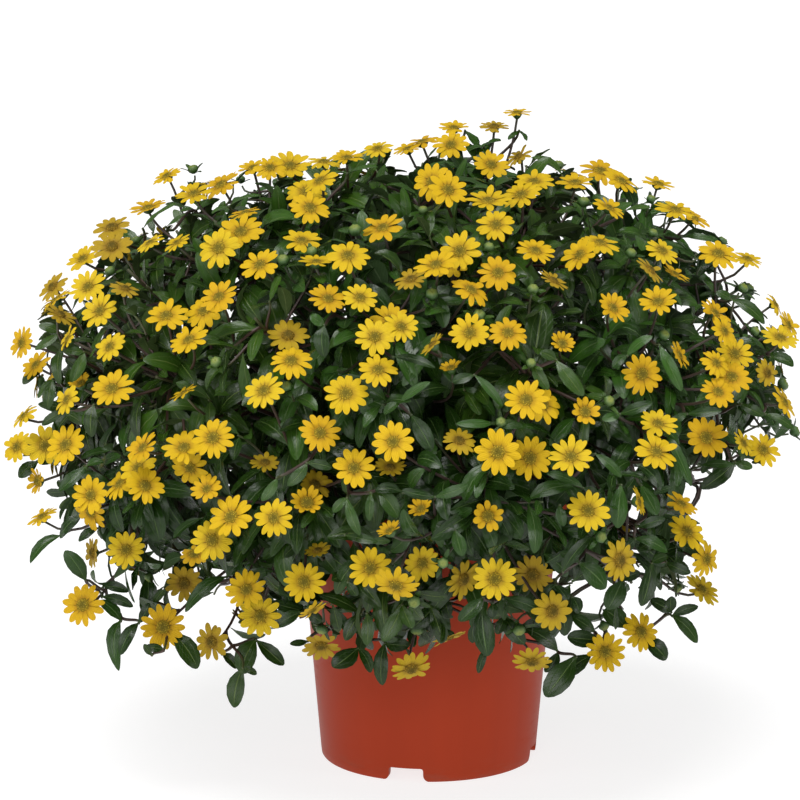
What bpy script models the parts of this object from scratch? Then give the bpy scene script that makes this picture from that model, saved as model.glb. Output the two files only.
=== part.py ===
"""Potted creeping zinnia: a plastic nursery pot, its potting soil, and a dense dome of leafy shoots and flowering
stems that all rise out of the soil, spread over the rim and hang a little way down round the pot.

Units are metres, +Z up. The origin is on the ground, under the middle of the plant's footprint; the pot's axis stands
a little to the right of it, because the dome reaches further out on the left. -Y is the front.
"""

import math
import random

import bpy
import numpy as np
from mathutils import Vector
from mathutils.bvhtree import BVHTree

# ---------------------------------------------------------------- driving dimensions
POT_AXIS = (0.0097, 0.0061)  # where the pot's axis stands, from the middle of the footprint
GAP = 0.0003  # between pieces that touch

POT_HEIGHT = 0.1340
FOOT_R = 0.0533  # outer radius on the ground
BODY_TOP_R = 0.0632  # outer radius just under the rim band
RIM_LOW_R = 0.0667  # rim band, lower edge
RIM_TOP_R = 0.0691  # rim band, top edge
RIM_BAND = 0.0190  # height of the rim band
WALL = 0.0018
FOOT_THICK = 0.0034  # foot ring, on the ground
FLOOR_UNDER = 0.0080  # underside of the raised floor
FLOOR_TOP = 0.0100
POT_SIDES = 40

NOTCHES = 4  # drainage notches through the foot ring
NOTCH_WIDTH = 0.0170
NOTCH_HEIGHT = 0.0070
NOTCH_CORNER = 0.0036
NOTCH_TURN = math.radians(-12.4)  # first notch, from the front towards the left
HOLE_R = 0.0045  # drain holes through the raised floor
HOLE_RING_R = 0.0330

SOIL_EDGE = 0.1205  # soil height along the wall
SOIL_CROWN = 0.1245  # soil height in the middle
SOIL_R = 0.0605  # radius of the soil's crowned part

DOME_CENTRE = 0.160  # height of the dome's widest level
DOME_UP = 0.142  # from there to the top
DOME_DOWN = 0.090  # from there to the hem
DOME_SIDE = 0.1925  # mean reach to the left and the right
DOME_LEAN = 0.0095  # how much further it reaches to the left
DOME_DEPTH = 0.188  # reach to the front and the back
DOME_POWER_UP = 2.5
DOME_POWER_DOWN = 2.2

FLOWER_R = 0.0100  # open bloom
SMALL_R = 0.0065  # opening bloom
HEAD_DEPTH = 0.0030
STALK_R = 0.0008
STEM_R = 0.0015
LEAF_LENGTH = 0.031
LEAF_WIDTH = 0.0115
CROWN_R = 0.030  # stems leave the soil inside this radius

LAST_HUB = 0.89  # how far along a flowering stem its last stalks leave it
SPRAYS = 28  # flowering stems
SHOOTS = 28  # leafy shoots
SEED = 17

# The front blooms are laid out by eye on a chart of 800 by 800 squares, as seen from EYE with the line of sight
# tipped down by TIP; LENS is the chart's distance in squares. Kinds: f open and facing, e seen from its edge,
# s small and opening, d set deeper among the leaves.
EYE = (-0.01425, -1.634, 0.4997)
TIP = math.radians(11.12)
LENS = 3400.0
BLOOMS = (
    (167, 176, "e"), (194, 194, "e"), (221, 185, "e"), (148, 208, "e"), (112, 228, "f"), (112, 247, "f"),
    (83, 259, "f"), (150, 243, "e"), (177, 243, "e"), (219, 248, "f"), (241, 232, "f"), (260, 265, "f"),
    (245, 213, "e"), (253, 168, "e"), (270, 168, "e"), (290, 166, "e"), (320, 181, "f"), (306, 192, "f"),
    (310, 208, "f"), (324, 162, "e"), (347, 158, "e"), (378, 149, "e"), (383, 228, "f"), (302, 241, "f"),
    (316, 262, "e"), (348, 256, "f"), (88, 287, "f"), (100, 311, "f"), (125, 289, "f"), (53, 287, "f"),
    (60, 315, "f"), (166, 316, "f"), (219, 297, "f"), (204, 311, "f"), (189, 340, "f"), (22, 343, "f"),
    (68, 339, "e"), (110, 347, "f"), (36, 365, "f"), (328, 299, "f"), (360, 298, "f"), (288, 336, "d"),
    (291, 361, "f"), (375, 337, "f"), (390, 320, "f"), (378, 370, "f"), (264, 391, "f"), (346, 394, "f"),
    (112, 389, "f"), (67, 400, "f"), (81, 384, "s"), (184, 393, "e"), (24, 416, "e"), (17, 447, "f"),
    (45, 445, "f"), (66, 445, "f"), (38, 481, "s"), (91, 495, "f"), (91, 512, "f"), (42, 517, "e"),
    (143, 448, "f"), (138, 468, "f"), (145, 486, "f"), (120, 484, "f"), (184, 448, "f"), (213, 438, "f"),
    (190, 467, "f"), (207, 489, "f"), (265, 463, "d"), (320, 433, "f"), (353, 467, "f"), (393, 442, "f"),
    (390, 468, "d"), (315, 485, "d"), (307, 503, "s"), (231, 517, "f"), (274, 518, "f"), (212, 540, "f"),
    (194, 553, "s"), (126, 550, "f"), (93, 553, "e"), (184, 583, "d"), (246, 589, "f"), (260, 616, "f"),
    (83, 605, "f"), (163, 627, "f"), (212, 642, "d"), (304, 582, "f"), (318, 551, "d"), (312, 610, "e"),
    (370, 568, "f"), (396, 585, "f"), (390, 531, "s"), (422, 563, "d"), (463, 579, "d"), (495, 579, "f"),
    (533, 574, "d"), (488, 516, "s"), (552, 611, "f"), (588, 511, "f"), (321, 645, "f"), (411, 668, "f"),
    (532, 661, "e"), (605, 652, "f"), (641, 632, "f"), (619, 560, "f"), (517, 113, "e"), (454, 128, "e"),
    (451, 145, "e"), (494, 127, "e"), (422, 142, "e"), (408, 149, "e"), (491, 165, "f"), (432, 182, "f"),
    (448, 190, "f"), (519, 157, "e"), (534, 182, "e"), (521, 195, "f"), (488, 201, "f"), (496, 225, "f"),
    (575, 183, "e"), (600, 171, "e"), (621, 181, "e"), (658, 184, "e"), (675, 210, "e"), (693, 218, "e"),
    (609, 208, "f"), (460, 251, "f"), (436, 265, "f"), (452, 264, "f"), (498, 273, "f"), (535, 251, "f"),
    (600, 243, "f"), (580, 255, "f"), (663, 252, "f"), (718, 254, "f"), (747, 259, "e"), (650, 270, "e"),
    (675, 274, "e"), (411, 280, "f"), (471, 290, "f"), (553, 281, "e"), (613, 308, "f"), (658, 302, "f"),
    (715, 313, "f"), (724, 331, "f"), (775, 304, "e"), (788, 325, "f"), (780, 338, "f"), (470, 333, "f"),
    (508, 333, "f"), (433, 345, "e"), (562, 344, "s"), (642, 374, "f"), (679, 355, "e"), (735, 354, "f"),
    (732, 377, "f"), (716, 363, "f"), (767, 373, "f"), (718, 392, "f"), (451, 368, "s"), (526, 400, "f"),
    (543, 405, "f"), (401, 327, "f"), (784, 402, "e"), (585, 412, "s"), (658, 424, "f"), (656, 452, "f"),
    (706, 438, "f"), (743, 443, "e"), (763, 450, "f"), (459, 441, "d"), (498, 452, "f"), (530, 458, "f"),
    (571, 457, "f"), (681, 504, "f"), (687, 532, "f"), (706, 559, "f"), (702, 590, "f"), (638, 501, "e"),
    (421, 509, "s"),
)

# colours, roughness
POT_LOOK = ((0.46, 0.055, 0.030), 0.42)
SOIL_LOOK = ((0.030, 0.019, 0.012), 0.95)
LEAF_LOOK = ((0.035, 0.095, 0.016), 0.45)
BLOOM_LOOK = ((0.86, 0.50, 0.010), 0.60)


# ---------------------------------------------------------------- small helpers
def unit(v):
    n = float(np.linalg.norm(v))
    return v / n if n > 1e-12 else np.array((0.0, 0.0, 1.0))


def material(name, look):
    colour, rough = look
    m = bpy.data.materials.new(name)
    m.use_nodes = True
    shader = m.node_tree.nodes["Principled BSDF"]
    shader.inputs["Base Color"].default_value = (*colour, 1.0)
    shader.inputs["Roughness"].default_value = rough
    shader.inputs["Metallic"].default_value = 0.0
    m.diffuse_color = (*colour, 1.0)
    return m


def make_object(name, verts, faces, mat, smooth=False):
    mesh = bpy.data.meshes.new(name)
    at = [(float(x) + POT_AXIS[0], float(y) + POT_AXIS[1], float(z)) for x, y, z in verts]
    mesh.from_pydata(at, [], [tuple(f) for f in faces])
    mesh.materials.append(mat)
    mesh.update()
    if smooth:
        mesh.shade_smooth()
        mesh.set_sharp_from_angle(angle=math.radians(35))
    ob = bpy.data.objects.new(name, mesh)
    bpy.context.scene.collection.objects.link(ob)
    return ob


def turned(profile, sides, turn=0.0):
    """Turns a profile of (radius, height) that starts and ends on the axis, listed from the under side outwards
    and up round the outer side, and back in over the top."""
    verts, faces = [], []
    rings = []
    for r, z in profile:
        if r < 1e-9:
            rings.append([len(verts)])
            verts.append((0.0, 0.0, z))
        else:
            rings.append(list(range(len(verts), len(verts) + sides)))
            for k in range(sides):
                a = turn + 2 * math.pi * k / sides
                verts.append((r * math.cos(a), r * math.sin(a), z))
    for low, high in zip(rings, rings[1:]):
        for k in range(sides):
            j = (k + 1) % sides
            if len(low) == 1:
                faces.append((low[0], high[j], high[k]))
            elif len(high) == 1:
                faces.append((low[k], low[j], high[0]))
            else:
                faces.append((low[k], low[j], high[j], high[k]))
    return verts, faces


# ---------------------------------------------------------------- the dome that the foliage fills
def reach(phi):
    side = DOME_SIDE - DOME_LEAN * math.cos(phi)
    c, s = math.cos(phi) / side, math.sin(phi) / DOME_DEPTH
    a = 1.0 / math.sqrt(c * c + s * s)
    return a * (1.0 + 0.018 * math.sin(3 * phi + 0.6) + 0.012 * math.sin(5 * phi + 2.1))


def level(p):
    """How far out p lies: 1 on the dome's surface, 0 at its centre."""
    r = math.hypot(p[0], p[1])
    up = p[2] - DOME_CENTRE
    if r < 1e-9:
        return abs(up) / (DOME_UP if up > 0 else DOME_DOWN)
    a = reach(math.atan2(p[1], p[0]))
    h, n = (DOME_UP, DOME_POWER_UP) if up > 0 else (DOME_DOWN, DOME_POWER_DOWN)
    return ((r / a) ** n + (abs(up) / h) ** n) ** (1.0 / n)


def outward(p):
    """The dome's outward direction at p."""
    e = 0.002
    g = [level(p + e * np.eye(3)[i]) - level(p - e * np.eye(3)[i]) for i in range(3)]
    return unit(np.array(g))


def dome_point(phi, psi, f=1.0):
    """The surface point at azimuth phi and tilt psi above the widest level."""
    d = np.array((math.cos(psi) * math.cos(phi), math.cos(psi) * math.sin(phi), math.sin(psi)))
    c = np.array((0.0, 0.0, DOME_CENTRE))
    return c + d * f / (level(c + d * 0.1) / 0.1)


def from_chart(x, y, depth):
    """The point where the line of sight through a chart square meets the dome's level `depth`, or passes nearest."""
    ahead = np.array((0.0, math.cos(TIP), -math.sin(TIP)))
    above = np.array((0.0, math.sin(TIP), math.cos(TIP)))
    d = unit(ahead + np.array((1.0, 0, 0)) * (x - 400.0) / LENS - above * (y - 400.0) / LENS)
    eye = np.array(EYE)
    best, where = 1e9, None
    t = 1.36
    while t < 2.0:
        p = eye + d * t
        f = level(p)
        if f < best:
            best, where = f, p
        if f <= depth:
            return p, d
        t += 0.002
    return where, d


def on_chart(p):
    """Where a point shows on the chart."""
    ahead = np.array((0.0, math.cos(TIP), -math.sin(TIP)))
    above = np.array((0.0, math.sin(TIP), math.cos(TIP)))
    v = np.asarray(p, float) - np.array(EYE)
    far = float(np.dot(v, ahead))
    return 400.0 + LENS * float(v[0]) / far, 400.0 - LENS * float(np.dot(v, above)) / far


def plan_blooms():
    """Every bloom: (centre, facing, radius, small)."""
    rng = random.Random(SEED)
    out = []

    def jitter(s):
        return np.array([rng.uniform(-s, s) for _ in range(3)])

    up = np.array((0.0, 0.0, 1.0))
    for x, y, kind in BLOOMS:
        depth = {"f": 0.985, "e": 0.985, "s": 0.95, "d": 0.86}[kind] + rng.uniform(-0.03, 0.02)
        p, sight = from_chart(x, y, depth)
        if out:
            step = max(
                (0.0, 0.008, -0.006, 0.014, -0.010, 0.020),
                key=lambda t: min(0.0165, min(float(np.linalg.norm(p + sight * t - q[0])) for q in out)) - abs(t) * 0.05,
            )
            p = p + sight * step
        n = outward(p)
        if kind == "e":
            f = unit(n * 0.7 + up * 0.8 + jitter(0.25))
            across = unit(f + sight * float(np.dot(f, -sight)))
            share = 0.20 if y < 120 else rng.uniform(0.32, 0.50)
            f = unit(across * math.sqrt(1 - share * share) - sight * share)
        else:
            high = min(1.0, max(0.0, (310.0 - y) / 130.0))
            f = unit(n * 0.9 - sight * (0.80 - 0.50 * high) + up * (0.10 + 0.12 * high) + jitter(0.24))
        r = SMALL_R if kind == "s" else FLOWER_R * rng.uniform(0.93, 1.05)
        out.append((p, f, r, kind == "s"))
    # the sides, back, top and hem that the chart doesn't cover
    golden = math.pi * (3 - math.sqrt(5))
    count = 1500
    order = list(range(count))
    rng.shuffle(order)
    for k in order:
        s = 1 - 2 * (k + 0.5) / count
        if s < -0.80:
            continue
        psi, phi = math.asin(s), (k * golden) % (2 * math.pi)
        p = dome_point(phi, psi, rng.uniform(0.93, 1.0))
        n = outward(p)
        if math.hypot(p[0], p[1]) < 0.092 and p[2] < 0.150:
            continue
        to_eye = unit(np.array(EYE) - p)
        if float(np.dot(n, to_eye)) > 0.16:
            continue
        x, y = on_chart(p)
        if (x > 702 and y > 474) or (x < 66 and y > 556) or y > 640:
            continue
        room = 0.0255 if s > -0.1 else 0.031
        if min(float(np.linalg.norm(p - q[0])) for q in out) < room:
            continue
        f = unit(n + up * 0.30 + jitter(0.28))
        small = rng.random() < 0.08
        out.append((p, f, SMALL_R if small else FLOWER_R * rng.uniform(0.92, 1.05), small))
    return out


def clusters(points, count):
    """Groups the points into `count` near groups, and returns each point's group."""
    pts = np.array(points)
    seeds = [pts[int(np.argmax(pts[:, 2]))]]
    while len(seeds) < count:
        d = np.min([np.linalg.norm(pts - s, axis=1) for s in seeds], axis=0)
        seeds.append(pts[int(np.argmax(d))])
    seeds = np.array(seeds)
    for _ in range(14):
        d = np.linalg.norm(pts[:, None, :] - seeds[None, :, :], axis=2)
        own = np.argmin(d, axis=1)
        for k in range(count):
            if (own == k).any():
                seeds[k] = pts[own == k].mean(axis=0)
    return own, seeds


def leafy_seeds(taken, count):
    """Tips of the leafy shoots, spread over the dome as far as possible from the flowering stems and each other."""
    golden = math.pi * (3 - math.sqrt(5))
    cand = []
    for k in range(700):
        s = 1 - 2 * (k + 0.5) / 700
        if s < -0.72:
            continue
        p = dome_point((k * golden) % (2 * math.pi), math.asin(s), 0.93)
        if math.hypot(p[0], p[1]) < 0.100 and p[2] < 0.150:
            continue
        cand.append(p)
    cand = np.array(cand)
    near = np.min([np.linalg.norm(cand - t, axis=1) for t in taken], axis=0)
    out = []
    for _ in range(count):
        k = int(np.argmax(near))
        out.append(cand[k])
        near = np.minimum(near, np.linalg.norm(cand - cand[k], axis=1))
    return out


def soil_level(r):
    return SOIL_EDGE + (SOIL_CROWN - SOIL_EDGE) * (1 - min(1.0, r / SOIL_R) ** 2)


def crown_bases(tips):
    """Where each stem leaves the soil: on its own side of the crown, none nearer than about 5 mm to another."""
    bases = []
    for k, tip in enumerate(tips):
        phi = math.atan2(tip[1], tip[0])
        low = (DOME_CENTRE + DOME_UP - tip[2]) / (DOME_UP + DOME_DOWN)
        r = 0.005 + (CROWN_R - 0.005) * min(1.0, low * 1.15)
        bases.append([r * math.cos(phi), r * math.sin(phi)])
    b = np.array(bases)
    for _ in range(200):
        for i in range(len(b)):
            d = b[i] - b
            dist = np.linalg.norm(d, axis=1)
            dist[i] = 1.0
            for j in np.where(dist < 0.0056)[0]:
                push = d[j] / max(dist[j], 1e-6) if dist[j] > 1e-6 else np.array((1.0, 0.0))
                b[i] += push * (0.0056 - dist[j]) * 0.5
                b[j] -= push * (0.0056 - dist[j]) * 0.5
        r = np.linalg.norm(b, axis=1)
        far = r > CROWN_R
        b[far] *= (CROWN_R / r[far])[:, None]
    return [np.array((x, y, soil_level(math.hypot(x, y)) + GAP)) for x, y in b]


def bezier(p0, p1, p2, p3, t):
    s = 1 - t
    return p0 * s**3 + p1 * 3 * s * s * t + p2 * 3 * s * t * t + p3 * t**3


def stem_curve(base, tip, lift=0.0, sway=(0.0, 0.0)):
    """A stem's four control points: up out of the soil, over the rim and on to its tip."""
    n = outward(tip)
    flat = unit(np.array((tip[0], tip[1], 0.0)))
    side = np.array((-flat[1], flat[0], 0.0))
    low = max(0.0, (DOME_CENTRE + 0.04 - tip[2]) / 0.13)  # 0 above the widest level, about 1 at the hem
    rise = 0.036 + 0.022 * min(1.0, low) + lift
    p1 = base + np.array((0, 0, rise)) + flat * (0.010 + 0.016 * min(1.0, low)) + side * sway[0]
    back = 0.050 + 0.040 * min(1.0, low)
    p2 = tip - n * back + np.array((0, 0, 0.030 * min(1.0, low) + lift)) + side * sway[1]
    return p1, p2


def clears_pot(points, room):
    for p in points:
        r = math.hypot(p[0], p[1])
        if p[2] < POT_HEIGHT + room and 0.050 < r < RIM_TOP_R + room - 0.0005:
            return False
    return True


def stem_points(base, tip, count, sway):
    lift = 0.0
    while True:
        p1, p2 = stem_curve(base, tip, lift, sway)
        fine = [bezier(base, p1, p2, tip, k / 60.0) for k in range(61)]
        if clears_pot(fine, 0.007) or lift > 0.06:
            break
        lift += 0.005
    return [bezier(base, p1, p2, tip, k / (count - 1.0)) for k in range(count)]


# ---------------------------------------------------------------- one closed skin grown face by face
class Skin:
    """A closed triangle skin. Any face can be drawn out into a tube, a leaf or a bloom."""

    def __init__(self):
        self.v = []
        self.f = {}
        self.next = 0

    def vert(self, p):
        self.v.append(np.array(p, float))
        return len(self.v) - 1

    def face(self, a, b, c):
        self.f[self.next] = (a, b, c)
        self.next += 1
        return self.next - 1

    def ring(self, centre, d, radius, like=None):
        """Three points round `centre`, in turn about d, lined up with the face `like`."""
        d = unit(d)
        ref = np.array((0.0, 0.0, 1.0)) if abs(d[2]) < 0.9 else np.array((1.0, 0.0, 0.0))
        x = unit(np.cross(ref, d))
        if like is not None:
            a = like[0] - np.mean(like, axis=0)
            a = a - d * np.dot(a, d)
            if np.linalg.norm(a) > 1e-9:
                x = unit(a)
        y = np.cross(d, x)
        return [centre + radius * (x * math.cos(q) + y * math.sin(q)) for q in (0, 2 * math.pi / 3, 4 * math.pi / 3)]

    def start(self, centre, d, radius):
        pts = self.ring(centre, d, radius)
        a, b, c = (self.vert(p) for p in pts)
        self.face(a, c, b)
        return self.face(a, b, c)

    def corners(self, face):
        return [self.v[i] for i in self.f[face]]

    def extend(self, face, pts, full=False):
        """Draws a face out to the three points, and gives the new end face and its six side faces. A full one folds
        each side outwards, whichever way it is split."""
        a, b, c = self.f.pop(face)
        x, y, z = (self.vert(p) for p in pts)
        foot = (self.v[a] + self.v[b] + self.v[c]) / 3
        d = unit((self.v[x] + self.v[y] + self.v[z]) / 3 - foot)

        def out(p, q):
            w = (self.v[p] + self.v[q]) / 2 - foot
            return float(np.linalg.norm(w - d * np.dot(w, d)))

        sides = []
        for (i, j), (m, n) in (((a, b), (x, y)), ((b, c), (y, z)), ((c, a), (z, x))):
            if full and out(j, m) > out(i, n):
                sides.append(self.face(i, j, m))
                sides.append(self.face(j, n, m))
            else:
                sides.append(self.face(i, j, n))
                sides.append(self.face(i, n, m))
        return self.face(x, y, z), sides

    def tip(self, face, p):
        a, b, c = self.f.pop(face)
        k = self.vert(p)
        for i, j in ((a, b), (b, c), (c, a)):
            self.face(i, j, k)

    def bloom(self, face, rim, apex):
        a, b, c = self.f.pop(face)
        r = [self.vert(p) for p in rim]
        k = self.vert(apex)
        for (i, j), (m, n, o) in (((a, b), (0, 1, 2)), ((b, c), (2, 3, 4)), ((c, a), (4, 5, 0))):
            self.face(i, j, r[n])
            self.face(j, r[o], r[n])
            self.face(i, r[n], r[m])
        for i in range(6):
            self.face(r[i], r[(i + 1) % 6], k)

    def face_towards(self, faces, d):
        best, which = -2.0, None
        for k in faces:
            if k not in self.f:
                continue
            a, b, c = self.corners(k)
            n = unit(np.cross(b - a, c - a))
            if float(np.dot(n, d)) > best:
                best, which = float(np.dot(n, d)), k
        return which, best


def turned_in(skin, faces):
    """How many of the faces have no solid just behind them, as where a skin passes through itself."""
    tri = np.array([[skin.v[i] for i in f] for f in skin.f.values()])
    own = np.array([[skin.v[i] for i in skin.f[k]] for k in faces])
    n = np.cross(own[:, 1] - own[:, 0], own[:, 2] - own[:, 0])
    p = own.mean(axis=1) - n / np.linalg.norm(n, axis=1)[:, None] * 1e-7
    a, b, c = (tri[None, :, k] - p[:, None] for k in range(3))
    la, lb, lc = (np.linalg.norm(x, axis=2) for x in (a, b, c))
    num = (a * np.cross(b, c)).sum(axis=2)
    den = la * lb * lc + (a * b).sum(axis=2) * lc + (b * c).sum(axis=2) * la + (c * a).sum(axis=2) * lb
    turns = np.arctan2(num, den).sum(axis=1) / (2 * math.pi)
    return int((turns < 0.5).sum())


class Room:
    """Keeps pieces clear of each other: every organ that is placed is held as a small search tree."""

    def __init__(self):
        self.low, self.high, self.tree, self.owner = [], [], [], []

    @staticmethod
    def make(verts, faces):
        return BVHTree.FromPolygons([Vector(v) for v in verts], faces, all_triangles=True)

    def free(self, shape, others_of=None, only=None):
        """Whether a shape is clear: of everything, of everything but one plant's own, or only of its own."""
        verts, faces = shape
        v = np.array(verts)
        lo, hi = v.min(axis=0), v.max(axis=0)
        if not self.tree:
            return True
        hit = np.where(((np.array(self.low) <= hi) & (np.array(self.high) >= lo)).all(axis=1))[0]
        if not len(hit):
            return True
        tree = self.make(verts, faces)
        for k in hit:
            if others_of is not None and self.owner[k] == others_of:
                continue
            if only is not None and self.owner[k] != only:
                continue
            if self.tree[k].overlap(tree):
                return False
        return True

    def add(self, shape, owner):
        verts, faces = shape
        v = np.array(verts)
        self.low.append(v.min(axis=0))
        self.high.append(v.max(axis=0))
        self.tree.append(self.make(verts, faces))
        self.owner.append(owner)


def swell(pts, by):
    """Corners of a section moved out from its middle."""
    c = np.mean(pts, axis=0)
    return [p + unit(p - c) * by for p in pts]


def loft(sections, end=None, rim=None, apex=None, full=False):
    """A closed skin through triangular sections, ending flat, in a point, or in a bloom."""
    s = Skin()
    a, b, c = (s.vert(p) for p in sections[0])
    s.face(a, c, b)
    top = s.face(a, b, c)
    for sec in sections[1:]:
        top, _ = s.extend(top, sec, full)
    if end is not None:
        s.tip(top, end)
    if rim is not None:
        s.bloom(top, rim, apex)
    return s.v, list(s.f.values())


def stem_sections(points, radius, taper):
    """Sections of a stem through its points."""
    d = unit(np.array((0.0, 0.0, 1.0)))
    s = Skin()
    out = [s.ring(points[0], d, radius)]
    lengths = cut_lengths(points)
    for k in range(1, len(points)):
        if k < len(points) - 1:
            d = unit(unit(points[k] - points[k - 1]) + unit(points[k + 1] - points[k]))
        else:
            d = unit(points[k] - points[k - 1])
        r = radius * (1 - taper * lengths[k] / lengths[-1])
        out.append(s.ring(points[k], d, r, out[-1]))
    return out


def bloom_rim(p, f, r, like):
    f = unit(f)
    a = like[0] - np.mean(like, axis=0)
    x = unit(a - f * np.dot(a, f))
    y = np.cross(f, x)
    rim = []
    for k in range(6):
        q = k * math.pi / 3
        rim.append(p + r * (x * math.cos(q) + y * math.sin(q)))
    return rim


def leaf_sections(root, d, up, length, width, droop):
    """The leaf's two cross-sections and its tip: each section is keel, right edge, left edge."""
    d = unit(d)
    up = unit(up - d * np.dot(up, d))
    w = np.cross(up, d)
    down = np.array((0.0, 0.0, -1.0))
    out = []
    for t, wide in ((0.34, 0.86), (0.68, 0.95)):
        c = root + d * length * t + down * droop * length * t * t
        half = 0.5 * width * wide
        out.append([c - up * 0.0007, c + w * half + up * 0.0011, c - w * half + up * 0.0011])
    return out, root + d * length * 0.985 + down * droop * length


def rotate_to_match(face_pts, section):
    """The order of a section's corners, in turn, that lies nearest to the face's own."""
    centre_a, centre_b = np.mean(face_pts, axis=0), np.mean(section, axis=0)
    best, order = 1e9, 0
    for k in range(3):
        s = section[k:] + section[:k]
        cost = 0.0
        for a, b in zip(face_pts, s):
            u, v = unit(a - centre_a), unit(b - centre_b)
            cost += float(np.linalg.norm(u - v))
        if cost < best:
            best, order = cost, k
    return section[order:] + section[:order]


# ---------------------------------------------------------------- the plant's plan
def cut_lengths(points):
    d = [0.0]
    for a, b in zip(points, points[1:]):
        d.append(d[-1] + float(np.linalg.norm(b - a)))
    return d


def at_length(points, s):
    d = cut_lengths(points)
    s = max(0.0, min(s, d[-1]))
    for k in range(1, len(points)):
        if s <= d[k] or k == len(points) - 1:
            t = (s - d[k - 1]) / max(1e-9, d[k] - d[k - 1])
            return points[k - 1] * (1 - t) + points[k] * t, unit(points[k] - points[k - 1])


def marks_of(total, shares):
    """Where a stem's rings lie: single ones low down, then a close pair at every place where something leaves it."""
    low, high = shares
    out = [0.0] + [total * t for t in low]
    for t in high:
        out += [total * t - 0.0010, total * t + 0.0010]
    return out


SPRAY_RINGS = ((0.14, 0.30, 0.41), (0.50, 0.64, 0.77, LAST_HUB))
SHOOT_RINGS = ((0.12, 0.24, 0.35), (0.48, 0.61, 0.73, 0.84, 0.94))


def free_stem(room, base, tip, shares, owner, rng):
    """A stem from its base to its tip that clears every stem already there: its sections and its path."""
    for attempt in range(60):
        sway = (0.0, 0.0) if attempt == 0 else (rng.uniform(-0.016, 0.016), rng.uniform(-0.026, 0.026))
        path = stem_points(base, tip, 41, sway)
        total = cut_lengths(path)[-1]
        marks = marks_of(total, shares)
        pts = [at_length(path, s)[0] for s in marks]
        pts[0] = base
        if room.free(loft([swell(q, 0.0009) for q in stem_sections(pts, STEM_R, 0.4)])):
            return stem_sections(pts, STEM_R, 0.4), path
    return None


def grow_stem(sections):
    """The stem's skin, with the side faces of each close pair of rings."""
    skin = Skin()
    a, b, c = (skin.vert(p) for p in sections[0])
    skin.face(a, c, b)
    top = skin.face(a, b, c)
    sides = []
    for q in sections[1:]:
        top, side = skin.extend(top, q)
        sides.append(side)
    return skin, top, sides


def build_spray(k, sections, path, blooms, room, rng):
    owner = ("spray", k)
    total = cut_lengths(path)[-1]
    hub_s = [total * t for t in SPRAY_RINGS[1]]
    first = 1 + len(SPRAY_RINGS[0])
    last = min(range(len(blooms)), key=lambda i: float(np.linalg.norm(blooms[i][0] - path[-1])))
    hubs = [[] for _ in hub_s]
    for i, b in enumerate(blooms):
        if i == last:
            continue
        neck = b[0] - b[1] * HEAD_DEPTH
        best, which = 1e9, None
        for h, s in enumerate(hub_s):
            if len(hubs[h]) >= 6:
                continue
            q, d = at_length(path, s)
            v = neck - q
            far = float(np.linalg.norm(v))
            bend = math.acos(max(-1.0, min(1.0, float(np.dot(unit(v), d)))))
            cost = far * (1.0 + 0.6 * max(0.0, bend - 0.9) ** 2 + 2.0 * max(0.0, bend - 1.7)) + 0.004 * len(hubs[h])
            if cost < best:
                best, which = cost, h
        if which is not None:
            hubs[which].append(i)
    skin, top, sides = grow_stem(sections)
    used, left = [], []

    def put(face, i, q, way_min):
        """Draws a stalk and its bloom out of a face, if there is room."""
        nonlocal used
        p, f, rad, small = blooms[i]
        for attempt in range(30):
            loose = 0.12 + 0.02 * attempt
            f2 = f if attempt == 0 else unit(f + np.array([rng.uniform(-loose, loose) for _ in range(3)]))
            slack = 0.0 if attempt < 4 else 0.0015 + 0.0002 * attempt
            p2 = p + np.array([rng.uniform(-slack, slack) for _ in range(3)])
            neck = p2 - f2 * HEAD_DEPTH
            way = unit(neck - q)
            side, facing = (face, 1.0) if isinstance(face, int) else skin.face_towards(face, way)
            if side is None or facing < way_min:
                return False
            root = skin.corners(side)
            mid = np.mean(root, axis=0)
            if isinstance(face, int) and float(np.dot(way, unit(np.cross(root[1] - root[0], root[2] - root[0])))) < 0.25:
                return False
            ring = skin.ring(neck, unit(unit(neck - mid) + f2), STALK_R, root)
            rim, apex = bloom_rim(p2, f2, rad, ring), p2 + f2 * 0.0012
            out = mid + unit(neck - mid) * 0.0030
            clear = skin.ring(out, unit(neck - mid), STALK_R + 0.0002, root)
            fat = loft([swell(root, 0.0005), swell(ring, 0.0005)], rim=swell(bloom_rim(p2 - f2 * 0.0004, f2, rad, ring), 0.0006), apex=apex + f2 * 0.0005)
            own = loft([clear, swell(ring, 0.0002)], rim=rim, apex=apex)
            if room.free(fat, others_of=owner) and room.free(own, only=owner):
                end, _ = skin.extend(side, ring)
                skin.bloom(end, rim, apex)
                room.add(loft([root, ring], rim=rim, apex=apex), owner)
                used.append((p2, f2, rad, small, mid, neck))
                return True
        return False

    for h in range(len(hub_s)):
        q, d = at_length(path, hub_s[h])
        faces = sides[first - 1 + 2 * h + 1]
        for i in sorted(hubs[h], key=lambda i: float(np.linalg.norm(blooms[i][0] - q))):
            if not put(faces, i, q, 0.15):
                left.append(i)
    if not put(top, last, at_length(path, hub_s[-1])[0], 0.0):
        left.append(last)
    # a bloom that found no room at its own place on the stem tries the others
    for i in list(left):
        for h in range(len(hub_s) - 1, -1, -1):
            q, d = at_length(path, hub_s[h])
            if put(sides[first - 1 + 2 * h + 1], i, q, 0.15):
                left.remove(i)
                break
    return skin, used, [blooms[i] for i in left]


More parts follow.
